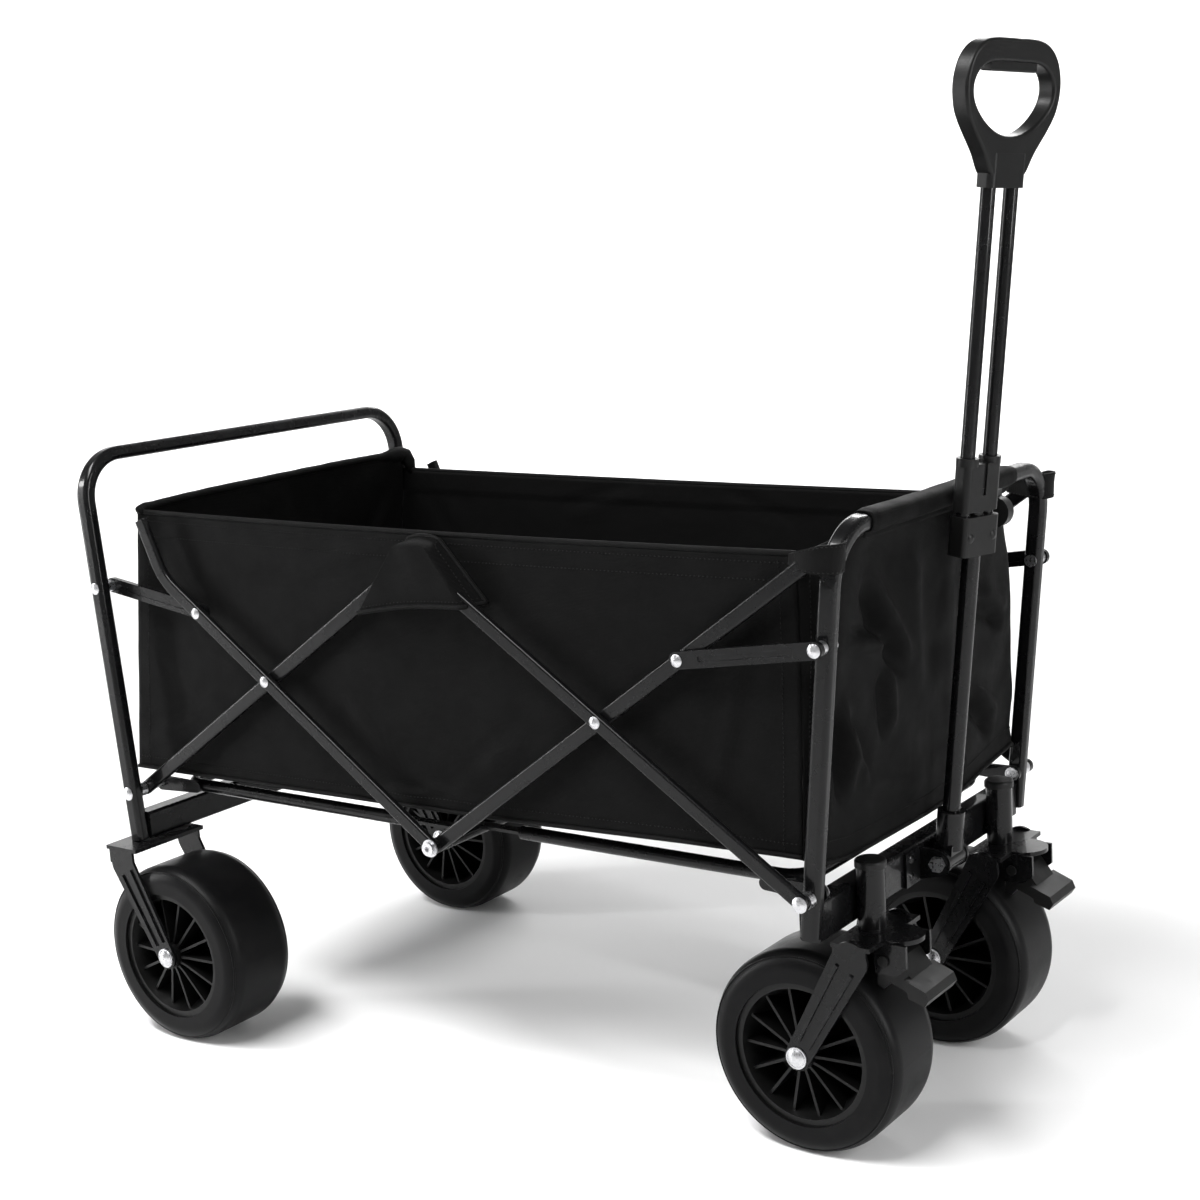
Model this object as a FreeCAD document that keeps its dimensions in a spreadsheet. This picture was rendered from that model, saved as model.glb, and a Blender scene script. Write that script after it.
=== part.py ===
"""Folding camp wagon: two inverted-U frames joined by scissor struts, with a fabric tub and a pull handle.

+X points to the handle end, +Y to the far side, +Z up.  The origin is on the ground, under the middle
of the open wagon.  All sizes are in millimetres and come from the spreadsheet "Sizes".
"""
import FreeCAD, Part
import math
import os
import Sketcher

V = FreeCAD.Vector
X_AXIS = V(1, 0, 0)
Y_AXIS = V(0, 1, 0)
Z_AXIS = V(0, 0, 1)
NEAR, FAR = -1, 1

SIZES = [
    # wheels
    ("wheel_radius", 93, "outside radius of the wide tyres"),
    ("wheel_width", 84, "width of a tyre"),
    ("shoulder_radius", 16, "rounding of a tyre's shoulders"),
    ("rim_radius", 66, "seat of the tyre on its rim"),
    ("hub_radius", 13, "outside radius of a rim's hub"),
    ("axle_radius", 6, "radius of a wheel bolt"),
    ("running_gap", 0.05, "radial clearance of everything that turns on a pin"),
    ("rear_track", 216, "centre of a rear wheel from the middle"),
    ("front_track", 130, "centre of a front wheel from the middle"),
    ("rear_axle_x", -381.8, "rear axle"),
    ("pin_behind_axle", 58, "rear frame pins behind the rear axle"),
    ("caster_trail", 53, "front axle behind its swivel axis"),
    ("rib_count", 14, "ribs on each side of a rim"),
    # scissor struts
    ("pivot_height", 255, "pins that join struts and frames"),
    ("pin_radius", 4, "radius of the frame and strut pins"),
    ("half_pitch", 199, "frame pin to crossing, and crossing to hub, along X"),
    ("cross_rise", 134, "crossing above the frame pins"),
    ("hub_drop", 7, "lower hub below the frame pins"),
    ("strut_width", 14, "flattened strut, seen from the side"),
    ("strut_depth", 7, "flattened strut, across the wagon"),
    ("outer_layer", 223, "middle of the outer struts from the middle of the wagon"),
    ("inner_layer", 215.5, "middle of the inner struts from the middle of the wagon"),
    ("link_reach", 107, "crossing to the end link's pin, along a strut"),
    ("link_height", 216, "frame pin to the end link's pin, along a leg"),
    ("link_depth", 5, "thickness of an end link"),
    ("strut_top", 238, "crossing to the top end of a strut that ends in the fabric pocket"),
    ("corner_run", 145, "crossing to the bend of a strut that ends at a tub corner"),
    ("corner_bend", 60, "bend radius of that strut"),
    ("corner_turn", 32, "angle of that bend"),
    ("corner_tail", 46, "straight end beyond the bend"),
    ("front_strut_top", 252, "crossing to the top end of the strut beside the front leg"),
    ("tube_wall", 1.5, "wall of the frame and floor tubes"),
    # frames
    ("tube_depth", 17, "frame tube along the wagon"),
    ("tube_width", 14, "frame tube across the wagon"),
    ("tube_round", 5, "corner rounding of the frame tube"),
    ("bend_radius", 46, "bends of the frames, on the centre line"),
    ("rear_half_width", 234, "rear leg's centre from the middle"),
    ("front_half_width", 204, "front leg's centre from the middle"),
    ("rear_rise", 349, "rear top bar above the frame pin, along the leg"),
    ("front_rise", 310, "front top bar above the frame pin, along the leg"),
    ("rear_lean", 4.4, "rear frame leans back"),
    ("front_lean", 5.6, "front frame leans forward"),
    ("rear_drop", 50, "rear leg below its pin"),
    ("front_drop", 36, "front leg below its pin"),
    ("beam_depth", 20, "cross beams along the wagon"),
    ("rear_beam_height", 28, "rear cross beam"),
    ("front_beam_height", 35, "front cross beam"),
    # floor frames and boards
    ("floor_tube_radius", 6.5, "tube of the folding floor frames"),
    ("floor_half_width", 186, "rear floor frame's side tubes from the middle"),
    ("floor_nest", 15, "front floor frame is narrower by this on each side"),
    ("floor_bend", 24, "bends of the floor frames"),
    ("floor_start", 28, "floor frame's cross tube from the frame pin"),
    ("floor_end", 332, "ends of the floor frame's tubes from the frame pin"),
    ("tongue_end", 407, "flattened free ends of the floor frames from the frame pin"),
    ("floor_lift", 1, "floor tubes above the frame pins"),
    ("board_depth", 3, "thickness of a floor board"),
    ("board_start", 82, "a floor board's first edge from the frame pin"),
    ("board_end", 344, "free end of a floor board from the frame pin"),
    ("board_half_width", 158, "half width of a floor board"),
    # front forks
    ("post_ahead", 14, "swivel posts ahead of the front frame's pins"),
    ("post_radius", 12.5, "outside of a swivel post"),
    ("kingpin_radius", 8, "bore of a swivel post"),
    ("post_bottom", 207, "lower end of a swivel post"),
    ("post_top", 261, "upper end of a swivel post"),
    ("fork_plate", 4, "thickness of the fork crowns"),
    ("arm_depth", 3, "thickness of a fork arm"),
    ("arm_gap", 1.5, "fork arm from the tyre's side"),
    # handle
    ("hinge_ahead", 22.5, "handle hinge ahead of the front frame's pins"),
    ("hinge_height", 230, "handle hinge above the ground"),
    ("handle_lean", 6.05, "parked handle leans forward"),
    ("handle_turn", -14, "parked handle is turned about its own length"),
    ("lower_tube_radius", 8, "single lower tube"),
    ("upper_tube_radius", 6.5, "pair of upper tubes"),
    ("upper_tube_offset", 15, "each upper tube from the handle's middle"),
    ("yoke_end", 46, "upper end of the yoke from the hinge"),
    ("slider_start", 284, "lower end of the slider from the hinge"),
    ("slider_length", 35, "slider along the handle"),
    ("coupler_start", 323, "lower end of the coupler from the hinge"),
    ("coupler_length", 42, "coupler along the handle"),
    ("grip_start", 597, "lower end of the grip from the hinge"),
    ("grip_length", 120, "grip along the handle"),
    ("grip_width", 123, "grip across"),
    ("grip_depth", 18, "grip from front to back"),
    ("grip_wall", 9.5, "side walls of the grip"),
    ("clip_start", 60, "inner end of the clip on the front top bar, from the middle"),
    ("clip_length", 18, "length of that clip"),
    # fabric tub
    ("cloth", 2.5, "thickness of the tub's cloth"),
    ("tub_half_width", 203, "outside of the tub's side panels"),
    ("tub_bottom", 273, "bottom edge of the side panels at the rear"),
    ("tub_bottom_rise", 14, "bottom edge of the side panels, higher at the front"),
    ("tub_top", 542, "top edge of the side panels"),
    ("rear_panel_top", 559, "top edge of the rear panel"),
]

doc = FreeCAD.newDocument("FoldingCampWagon")
sheet = doc.addObject("Spreadsheet::Sheet", "Sizes")
for row, (alias, number, note) in enumerate(SIZES, start=1):
    sheet.set(f"A{row}", note)
    sheet.set(f"B{row}", str(number))
    sheet.setAlias(f"B{row}", alias)
doc.recompute()

nodes = []


def val(alias):
    """The number in one cell of the sheet."""
    return float(sheet.get(alias))


def cell(alias):
    """The expression that reads one cell of the sheet."""
    return f"Sizes.{alias}"


def keep(part, name):
    """Make one document object a sub-part of the wagon, under its own name."""
    part.Label = name
    nodes.append(part)
    return part


def turned(degrees, axis=Y_AXIS):
    return FreeCAD.Rotation(axis, degrees)


def placed(x, y, z, rotation=FreeCAD.Rotation()):
    return FreeCAD.Placement(V(x, y, z), rotation)


# ---------------------------------------------------------------- sketches and features

def new_body(name):
    return doc.addObject("PartDesign::Body", name + "_body")


def new_sketch(body, name, role, shift=V(0, 0, 0)):
    """An empty sketch on one of the body's own origin planes."""
    sketch = body.newObject("Sketcher::SketchObject", name)
    plane = next(item for item in body.Origin.OriginFeatures if item.Role == role)
    sketch.AttachmentSupport = [(plane, "")]
    sketch.MapMode = "FlatFace"
    sketch.AttachmentOffset = FreeCAD.Placement(shift, FreeCAD.Rotation())
    return sketch


def bind(sketch, constraint, expression):
    """Add one dimension to a sketch and drive it from the sheet."""
    index = sketch.addConstraint(constraint)
    sketch.setExpression(f"Constraints[{index}]", expression)


def tangent(sketch, first, first_end, second, second_end):
    sketch.addConstraint(Sketcher.Constraint("Tangent", first, first_end, second, second_end))


def arc(sketch, centre, radius, start, end):
    circle = Part.Circle(centre, Z_AXIS, radius)
    return sketch.addGeometry(Part.ArcOfCircle(circle, start, end))


def line(sketch, start, end):
    return sketch.addGeometry(Part.LineSegment(start, end))


def bar_outline(sketch, span, root, tip):
    """Two round ends, their centres `span` apart along the sketch's x, joined by tangent lines."""
    length, r1, r2 = evaluate(span), evaluate(root), evaluate(tip)
    slope = math.asin((r1 - r2) / length)
    up = V(math.sin(slope), math.cos(slope), 0)
    down = V(up.x, -up.y, 0)
    end = V(length, 0, 0)
    top = line(sketch, up * r1, end + up * r2)
    bottom = line(sketch, end + down * r2, down * r1)
    tip_arc = arc(sketch, end, r2, slope - math.pi / 2, math.pi / 2 - slope)
    root_arc = arc(sketch, V(0, 0, 0), r1, math.pi / 2 - slope, 1.5 * math.pi + slope)
    tangent(sketch, top, 1, root_arc, 1)
    tangent(sketch, top, 2, tip_arc, 2)
    tangent(sketch, bottom, 1, tip_arc, 1)
    tangent(sketch, bottom, 2, root_arc, 2)
    sketch.addConstraint(Sketcher.Constraint("Coincident", root_arc, 3, -1, 1))
    sketch.addConstraint(Sketcher.Constraint("PointOnObject", tip_arc, 3, -1))
    bind(sketch, Sketcher.Constraint("Radius", root_arc, r1), root)
    bind(sketch, Sketcher.Constraint("Radius", tip_arc, r2), tip)
    bind(sketch, Sketcher.Constraint("DistanceX", -1, 1, tip_arc, 3, length), span)


def rounded_rectangle(sketch, width, height, rounding):
    """A rectangle with round corners about the sketch's origin."""
    w, h, r = evaluate(width) / 2, evaluate(height) / 2, evaluate(rounding)
    top = line(sketch, V(r - w, h, 0), V(w - r, h, 0))
    right = line(sketch, V(w, h - r, 0), V(w, r - h, 0))
    bottom = line(sketch, V(w - r, -h, 0), V(r - w, -h, 0))
    left = line(sketch, V(-w, r - h, 0), V(-w, h - r, 0))
    quarter = math.pi / 2
    corners = [
        (arc(sketch, V(w - r, h - r, 0), r, 0, quarter), right, 1, top, 2),
        (arc(sketch, V(w - r, r - h, 0), r, -quarter, 0), bottom, 1, right, 2),
        (arc(sketch, V(r - w, r - h, 0), r, -2 * quarter, -quarter), left, 1, bottom, 2),
        (arc(sketch, V(r - w, h - r, 0), r, quarter, 2 * quarter), top, 1, left, 2),
    ]
    for corner, first, first_end, second, second_end in corners:
        tangent(sketch, corner, 1, first, first_end)
        tangent(sketch, corner, 2, second, second_end)
    for corner, *_ in corners[1:]:
        sketch.addConstraint(Sketcher.Constraint("Equal", corners[0][0], corner))
    for flat in (top, bottom):
        sketch.addConstraint(Sketcher.Constraint("Horizontal", flat))
    for upright in (right, left):
        sketch.addConstraint(Sketcher.Constraint("Vertical", upright))
    bind(sketch, Sketcher.Constraint("Radius", corners[0][0], r), rounding)
    bind(sketch, Sketcher.Constraint("DistanceY", -1, 1, top, 1, h), f"({height}) / 2")
    bind(sketch, Sketcher.Constraint("DistanceY", bottom, 1, -1, 1, h), f"({height}) / 2")
    bind(sketch, Sketcher.Constraint("DistanceX", -1, 1, right, 1, w), f"({width}) / 2")
    bind(sketch, Sketcher.Constraint("DistanceX", left, 1, -1, 1, w), f"({width}) / 2")


def evaluate(expression):
    """The value of an expression made of cells, numbers and + - * /."""
    return float(sheet.evalExpression(expression))


def u_outline(sketch, half_width, foot, head, bend):
    """An upside-down U: two legs from y = foot up to a top bar at y = head, as a path for a tube."""
    w, low, high, r = (evaluate(item) for item in (half_width, foot, head, bend))
    left = line(sketch, V(-w, low, 0), V(-w, high - r, 0))
    first = arc(sketch, V(r - w, high - r, 0), r, math.pi / 2, math.pi)
    bar = line(sketch, V(r - w, high, 0), V(w - r, high, 0))
    second = arc(sketch, V(w - r, high - r, 0), r, 0, math.pi / 2)
    right = line(sketch, V(w, high - r, 0), V(w, low, 0))
    tangent(sketch, left, 2, first, 2)
    tangent(sketch, first, 1, bar, 1)
    tangent(sketch, bar, 2, second, 2)
    tangent(sketch, second, 1, right, 1)
    sketch.addConstraint(Sketcher.Constraint("Vertical", left))
    sketch.addConstraint(Sketcher.Constraint("Vertical", right))
    sketch.addConstraint(Sketcher.Constraint("Horizontal", bar))
    sketch.addConstraint(Sketcher.Constraint("Equal", first, second))
    bind(sketch, Sketcher.Constraint("Radius", first, r), bend)
    bind(sketch, Sketcher.Constraint("DistanceX", left, 1, -1, 1, w), half_width)
    bind(sketch, Sketcher.Constraint("DistanceX", -1, 1, right, 2, w), half_width)
    bind(sketch, Sketcher.Constraint("DistanceY", -1, 1, bar, 1, high), head)
    bind(sketch, Sketcher.Constraint("DistanceY", -1, 1, left, 1, low), foot)
    bind(sketch, Sketcher.Constraint("DistanceY", -1, 1, right, 2, low), foot)


def pipe(body, name, profile, path):
    feature = body.newObject("PartDesign::AdditivePipe", name)
    feature.Profile = profile
    feature.Spine = (path, [f"Edge{i + 1}" for i in range(path.GeometryCount)])
    return feature


def pad(body, name, sketch, length, both_ways=True):
    feature = body.newObject("PartDesign::Pad", name)
    feature.Profile = sketch
    feature.setExpression("Length", length)
    feature.Midplane = both_ways
    return feature


def drill(body, name, holes, depth=400):
    """Round holes along Y through the whole body; each hole is (x, z, radius expression)."""
    sketch = new_sketch(body, name + "_circles", "XZ_Plane")
    for x, z, radius in holes:
        size = evaluate(radius)
        circle = sketch.addGeometry(Part.Circle(V(x, z, 0), Z_AXIS, size))
        bind(sketch, Sketcher.Constraint("Radius", circle, size), radius)
        sketch.addConstraint(Sketcher.Constraint("Block", circle))
    pocket = body.newObject("PartDesign::Pocket", name)
    pocket.Profile = sketch
    pocket.Length = depth
    pocket.Midplane = True
    return pocket


def soften(body, name, axis, radius):
    """Round every edge of the two large flat faces that look along `axis`."""
    doc.recompute()
    tip = body.Tip
    names = []
    for index, face in enumerate(tip.Shape.Faces, start=1):
        flat = isinstance(face.Surface, Part.Plane)
        if flat and abs(face.normalAt(0, 0).dot(axis)) > 0.999 and face.Area > 60:
            names.append(f"Face{index}")
    fillet = body.newObject("PartDesign::Fillet", name)
    fillet.Base = (tip, names)
    fillet.Radius = radius
    return fillet


def flat_bar(name, span, root, tip, depth, holes, rounding=0.0):
    """A flat bar in its own X-Z plane, pivoted at the origin, with pin holes along Y."""
    body = new_body(name)
    sketch = new_sketch(body, name + "_outline", "XZ_Plane")
    bar_outline(sketch, span, root, tip)
    pad(body, name + "_plate", sketch, depth)
    if rounding:
        soften(body, name + "_edges", Y_AXIS, rounding)
    drill(body, name + "_holes", holes)
    return body


# ---------------------------------------------------------------- plain solids

def cylinder(radius, length, start, axis):
    return Part.makeCylinder(radius, length, start, axis)


def rod_y(radius, x, z, y_from, y_to):
    """A round bar along Y, between two distances from the middle of the wagon."""
    low, high = min(y_from, y_to), max(y_from, y_to)
    return cylinder(radius, high - low, V(x, low, z), Y_AXIS)


def plate(x, y, z):
    """A box from three (low, high) pairs."""
    return Part.makeBox(x[1] - x[0], y[1] - y[0], z[1] - z[0], V(x[0], y[0], z[0]))


def domed(radius, height, centre, axis):
    """A low round rivet head that stands on `centre` along `axis`."""
    ball = (radius * radius + height * height) / (2 * height)
    sphere = Part.makeSphere(ball, centre - axis * (ball - height))
    return sphere.common(cylinder(radius, height, centre, axis))


def pin_y(x, z, side, steps, dome=0.0):
    """A turned pin along Y: steps are (distance from the middle, radius), from the inner end outwards.

    Each step holds its radius up to the next one, and a dome can close the outer end.
    """
    points = [V(0, steps[0][0], 0)]
    for (start, radius), (end, _) in zip(steps, steps[1:]):
        points += [V(radius, start, 0), V(radius, end, 0)]
    edges = [Part.makeLine(a, b) for a, b in zip(points, points[1:]) if a.distanceToPoint(b) > 1e-6]
    last = points[-1]
    if dome:
        ball = (last.x ** 2 + dome ** 2) / (2 * dome)
        middle = V(last.x / 2, last.y + dome - ball + math.sqrt(ball ** 2 - last.x ** 2 / 4), 0)
        edges.append(Part.Arc(last, middle, V(0, last.y + dome, 0)).toShape())
        edges.append(Part.makeLine(V(0, last.y + dome, 0), points[0]))
    else:
        edges.append(Part.makeLine(last, V(0, last.y, 0)))
        edges.append(Part.makeLine(V(0, last.y, 0), points[0]))
    pin = Part.Face(Part.Wire(edges)).revolve(V(0, 0, 0), Y_AXIS, 360)
    if side == NEAR:
        pin.rotate(V(0, 0, 0), Z_AXIS, 180)
    pin.translate(V(x, 0, z))
    return pin


def rivet(x, z, side, outer, inner, shank, head):
    """A pin along Y with a domed head outside and a plain head inside; `side` is NEAR or FAR."""
    steps = [(inner - 1.8, head), (inner, shank), (outer, head), (outer + 0.4, head)]
    return pin_y(x, z, side, steps, dome=2.0)


def feature(name, shape, placement=None):
    """A sub-part whose shape is set directly."""
    part = doc.addObject("Part::Feature", name)
    part.Shape = shape
    if placement:
        part.Placement = placement
    return keep(part, name)


def prism(points, y_from, y_to):
    """A solid with an outline in X-Z, from y_from to y_to."""
    ring = [V(x, y_from, z) for x, z in points]
    face = Part.Face(Part.makePolygon(ring + ring[:1]))
    return face.extrude(Y_AXIS * (y_to - y_from))


# ---------------------------------------------------------------- places worked out from the sizes

AXLE_X = val("rear_axle_x")
REAR_PIN = V(AXLE_X - val("pin_behind_axle"), 0, val("pivot_height"))
PITCH = val("half_pitch")
REAR_CROSS = REAR_PIN + V(PITCH, 0, val("cross_rise"))
HUB = REAR_PIN + V(2 * PITCH, 0, -val("hub_drop"))
FRONT_CROSS = REAR_PIN + V(3 * PITCH, 0, val("cross_rise"))
FRONT_PIN = REAR_PIN + V(4 * PITCH, 0, 0)
STEEP = math.atan2(val("cross_rise"), PITCH)
STEEP_HUB = math.atan2(val("cross_rise") + val("hub_drop"), PITCH)
SHORT_ARM = math.hypot(PITCH, val("cross_rise"))
LONG_ARM = math.hypot(PITCH, val("cross_rise") + val("hub_drop"))
REAR_LEAN = math.radians(val("rear_lean"))
POST_X = FRONT_PIN.x + val("post_ahead")
FRONT_AXLE_X = POST_X - val("caster_trail")
HINGE = V(FRONT_PIN.x + val("hinge_ahead"), 0, val("hinge_height"))

rear_tilt = turned(-val("rear_lean"))
front_tilt = turned(val("front_lean"))
rear_link_pin = REAR_PIN + rear_tilt.multVec(V(0, 0, val("link_height")))
front_link_pin = FRONT_PIN + front_tilt.multVec(V(0, 0, val("link_height")))
rear_strut_pin = REAR_CROSS + V(-math.cos(STEEP_HUB), 0, math.sin(STEEP_HUB)) * val("link_reach")
front_strut_pin = FRONT_CROSS + V(math.cos(STEEP_HUB), 0, math.sin(STEEP_HUB)) * val("link_reach")

PIN = cell("pin_radius")
LOOSE_PIN = f"{PIN} + {cell('running_gap')}"
OUTER = val("outer_layer")
INNER = val("inner_layer")
DEPTH = val("strut_depth")
SIDES = (("near", NEAR), ("far", FAR))
HEAD = 7.0


# ---------------------------------------------------------------- the two inverted-U frames

def u_frame(name, half_width, rise, drop, tilt, base, holes):
    """A bent frame tube, built upright about its pin and then leaned."""
    body = new_body(name)
    path = new_sketch(body, name + "_path", "YZ_Plane")
    u_outline(path, half_width, f"-{drop}", rise, cell("bend_radius"))
    profile = new_sketch(body, name + "_section", "XY_Plane", V(0, -evaluate(half_width), -evaluate(drop)))
    wall = cell("tube_wall")
    rounded_rectangle(profile, cell("tube_depth"), cell("tube_width"), cell("tube_round"))
    rounded_rectangle(profile, f"{cell('tube_depth')} - 2 * {wall}", f"{cell('tube_width')} - 2 * {wall}",
                      f"{cell('tube_round')} - {wall}")
    pipe(body, name + "_tube", profile, path)
    drill(body, name + "_pin_holes", [(0, height, PIN) for height in holes], depth=600)
    body.Placement = FreeCAD.Placement(base, tilt)
    return keep(body, name)


LINK_HEIGHT = val("link_height")
u_frame("rear_frame_tube", cell("rear_half_width"), cell("rear_rise"), cell("rear_drop"),
        rear_tilt, REAR_PIN, (0, LINK_HEIGHT))
u_frame("front_frame_tube", cell("front_half_width"), cell("front_rise"), cell("front_drop"),
        front_tilt, FRONT_PIN, (0, LINK_HEIGHT))


def channel(name, length, height, open_side, placement):
    """A folded sheet-metal cross beam with an open back."""
    body = new_body(name)
    sketch = new_sketch(body, name + "_section", "XZ_Plane")
    rounded_rectangle(sketch, cell("beam_depth"), height, "3")
    pad(body, name + "_bar", sketch, length)
    doc.recompute()
    hollow = new_sketch(body, name + "_hollow", "XZ_Plane", V(-open_side * 4, 0, 0))
    rounded_rectangle(hollow, f"{cell('beam_depth')} + 3", f"{height} - 5", "2")
    pocket = body.newObject("PartDesign::Pocket", name + "_channel")
    pocket.Profile = hollow
    pocket.setExpression("Length", f"{length} - 12")
    pocket.Midplane = True
    body.Placement = placement
    return keep(body, name)


REAR_BEAM_Z = REAR_PIN.z - val("rear_drop")
rear_beam_x = REAR_PIN.x + 45 * math.tan(REAR_LEAN)
rear_inside = f"2 * {cell('rear_half_width')} - {cell('tube_width')} - 0.4"
channel("rear_cross_beam", rear_inside, cell("rear_beam_height"), 1,
        placed(rear_beam_x, 0, REAR_BEAM_Z + val("rear_beam_height") / 2))
FRONT_BEAM_TOP = 246.0
front_beam_x = POST_X - val("post_radius") - val("beam_depth") / 2 - 0.2
front_inside = f"2 * {cell('front_half_width')} - {cell('tube_width')} - 0.4"
channel("front_cross_beam", front_inside, cell("front_beam_height"), 1,
        placed(front_beam_x, 0, FRONT_BEAM_TOP - val("front_beam_height") / 2))


# ---------------------------------------------------------------- scissor struts

def strut(name, span, tip_span, holes, slope, pivot, layer, side):
    """A straight flattened strut from its pin to its top end."""
    body = flat_bar(name, f"{span} + {tip_span}", f"{cell('strut_width')} / 2", f"{cell('strut_width')} / 2",
                    cell("strut_depth"), holes, rounding=2.6)
    body.Placement = placed(pivot.x, side * layer, pivot.z, turned(-math.degrees(slope)))
    return keep(body, name)


def bent_strut(name, hub_arm, slope, layer, side):
    """A strut from the lower hub back through the crossing, bent upright at the tub's corner."""
    body = new_body(name)
    path = new_sketch(body, name + "_path", "XZ_Plane")
    run = hub_arm + val("corner_run")
    radius = val("corner_bend")
    turn = math.radians(val("corner_turn"))
    start = V(0, 0, 0)
    corner = V(run, 0, 0)
    centre = corner + V(0, radius, 0)
    leave = centre + V(math.sin(turn), -math.cos(turn), 0) * radius
    tail = leave + V(math.cos(turn), math.sin(turn), 0) * val("corner_tail")
    straight = line(path, start, corner)
    bend = arc(path, centre, radius, -math.pi / 2, turn - math.pi / 2)
    end = line(path, leave, tail)
    tangent(path, straight, 2, bend, 1)
    tangent(path, bend, 2, end, 1)
    path.addConstraint(Sketcher.Constraint("Coincident", straight, 1, -1, 1))
    path.addConstraint(Sketcher.Constraint("Horizontal", straight))
    bind(path, Sketcher.Constraint("DistanceX", -1, 1, straight, 2, run), f"{hub_arm} + {cell('corner_run')}")
    bind(path, Sketcher.Constraint("Radius", bend, radius), cell("corner_bend"))
    bind(path, Sketcher.Constraint("Distance", end, val("corner_tail")), cell("corner_tail"))
    bind(path, Sketcher.Constraint("DistanceY", end, 1, end, 2, tail.y - leave.y),
         f"{cell('corner_tail')} * sin({cell('corner_turn')} * 1deg)")
    profile = new_sketch(body, name + "_section", "YZ_Plane")
    rounded_rectangle(profile, cell("strut_depth"), cell("strut_width"), "2.6")
    pipe(body, name + "_bar", profile, path)
    holes = [(hub_arm, 0, PIN), (hub_arm + val("link_reach"), 0, PIN)]
    drill(body, name + "_holes", holes)
    eye_sketch = new_sketch(body, name + "_eye_outline", "XZ_Plane")
    eye = eye_sketch.addGeometry(Part.Circle(V(0, 0, 0), Z_AXIS, val("strut_width") / 2))
    eye_sketch.addConstraint(Sketcher.Constraint("Coincident", eye, 3, -1, 1))
    bind(eye_sketch, Sketcher.Constraint("Radius", eye, val("strut_width") / 2), f"{cell('strut_width')} / 2")
    pad(body, name + "_eye", eye_sketch, cell("strut_depth"))
    drill(body, name + "_hub_hole", [(0, 0, PIN)])
    lift = FreeCAD.Rotation(Z_AXIS, 180).multiply(turned(-math.degrees(slope)))
    body.Placement = placed(HUB.x, side * layer, HUB.z, lift)
    return keep(body, name)


short_holes = [(0, 0, LOOSE_PIN), (SHORT_ARM, 0, LOOSE_PIN)]
long_holes = [(0, 0, LOOSE_PIN), (LONG_ARM, 0, PIN), (LONG_ARM + val("link_reach"), 0, PIN)]
for side_name, side in SIDES:
    strut(f"rear_inner_strut_{side_name}", SHORT_ARM, cell("strut_top"), short_holes, STEEP,
          REAR_PIN, INNER, side)
    bent_strut(f"rear_outer_strut_{side_name}", LONG_ARM, STEEP_HUB, OUTER, side)
    strut(f"front_inner_strut_{side_name}", LONG_ARM, cell("front_strut_top"), long_holes, STEEP_HUB,
          HUB, INNER, side)
    strut(f"front_outer_strut_{side_name}", SHORT_ARM, cell("strut_top"), short_holes, math.pi - STEEP,
          FRONT_PIN, OUTER, side)

PIN_R = val("pin_radius")
outer_face = OUTER + DEPTH / 2
inner_face = INNER - DEPTH / 2


def both_sides(make):
    """The same solid on the near and the far side, as one group."""
    return Part.makeCompound([make(NEAR), make(FAR)])


feature("rear_cross_rivets", both_sides(
    lambda side: rivet(REAR_CROSS.x, REAR_CROSS.z, side, outer_face, inner_face, PIN_R, 5.6)))
feature("front_cross_rivets", both_sides(
    lambda side: rivet(FRONT_CROSS.x, FRONT_CROSS.z, side, outer_face, inner_face, PIN_R, 5.6)))

TUBE_RADIUS = 7.0
tube_bore = TUBE_RADIUS - 1.5
cross_tube = rod_y(TUBE_RADIUS, HUB.x, HUB.z, inner_face - 0.5, 0.5 - inner_face)
cross_tube = cross_tube.cut(rod_y(tube_bore, HUB.x, HUB.z, inner_face, -inner_face))
feature("centre_cross_tube", cross_tube)


def hub_bolt(side):
    """The bolt that joins the two lower struts and plugs the end of the cross tube."""
    steps = [(inner_face - 30, tube_bore), (inner_face - 1, PIN_R), (outer_face, 8.5),
             (outer_face + 1.4, 6.5), (outer_face + 5, 6.5)]
    recess = rod_y(2.6, HUB.x, HUB.z, side * (outer_face + 2.4), side * (outer_face + 6))
    return pin_y(HUB.x, HUB.z, side, steps).cut(recess)


feature("hub_bolts", both_sides(hub_bolt))


# ---------------------------------------------------------------- end links

def end_links(name, frame_pin, strut_pin, layer):
    """A pair of short bars with a pressed slot, pinned to the legs and to the struts."""
    span = frame_pin.distanceToPoint(strut_pin)
    across = strut_pin - frame_pin
    slope = math.atan2(across.z, across.x)
    bars = []
    for side in (NEAR, FAR):
        half = val("link_depth") / 2
        disc = cylinder(7.5, 2 * half, V(0, -half, 0), Y_AXIS)
        far_disc = cylinder(7.5, 2 * half, V(span, -half, 0), Y_AXIS)
        web = plate((0, span), (-half, half), (-7.5, 7.5))
        bar = web.fuse([disc, far_disc]).removeSplitter()
        for face in (-1, 1):
            groove = plate((24, span - 24), (-0.9, 0.9), (-2.6, 2.6))
            ends = [cylinder(2.6, 1.8, V(x, -0.9, 0), Y_AXIS) for x in (24, span - 24)]
            groove = groove.fuse(ends)
            groove.translate(V(0, face * half, 0))
            bar = bar.cut(groove)
        bar = bar.cut(rod_y(PIN_R + val("running_gap"), 0, 0, -9, 9))
        bar = bar.cut(rod_y(PIN_R, span, 0, -9, 9))
        bar.Placement = placed(frame_pin.x, side * layer, frame_pin.z, turned(-math.degrees(slope)))
        bars.append(bar)
    return feature(name, Part.makeCompound(bars))


rear_link_layer = INNER + 1.0
front_link_layer = OUTER - 1.0
end_links("rear_end_links", rear_link_pin, rear_strut_pin, rear_link_layer)
end_links("front_end_links", front_link_pin, front_strut_pin, front_link_layer)
link_half = val("link_depth") / 2


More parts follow.
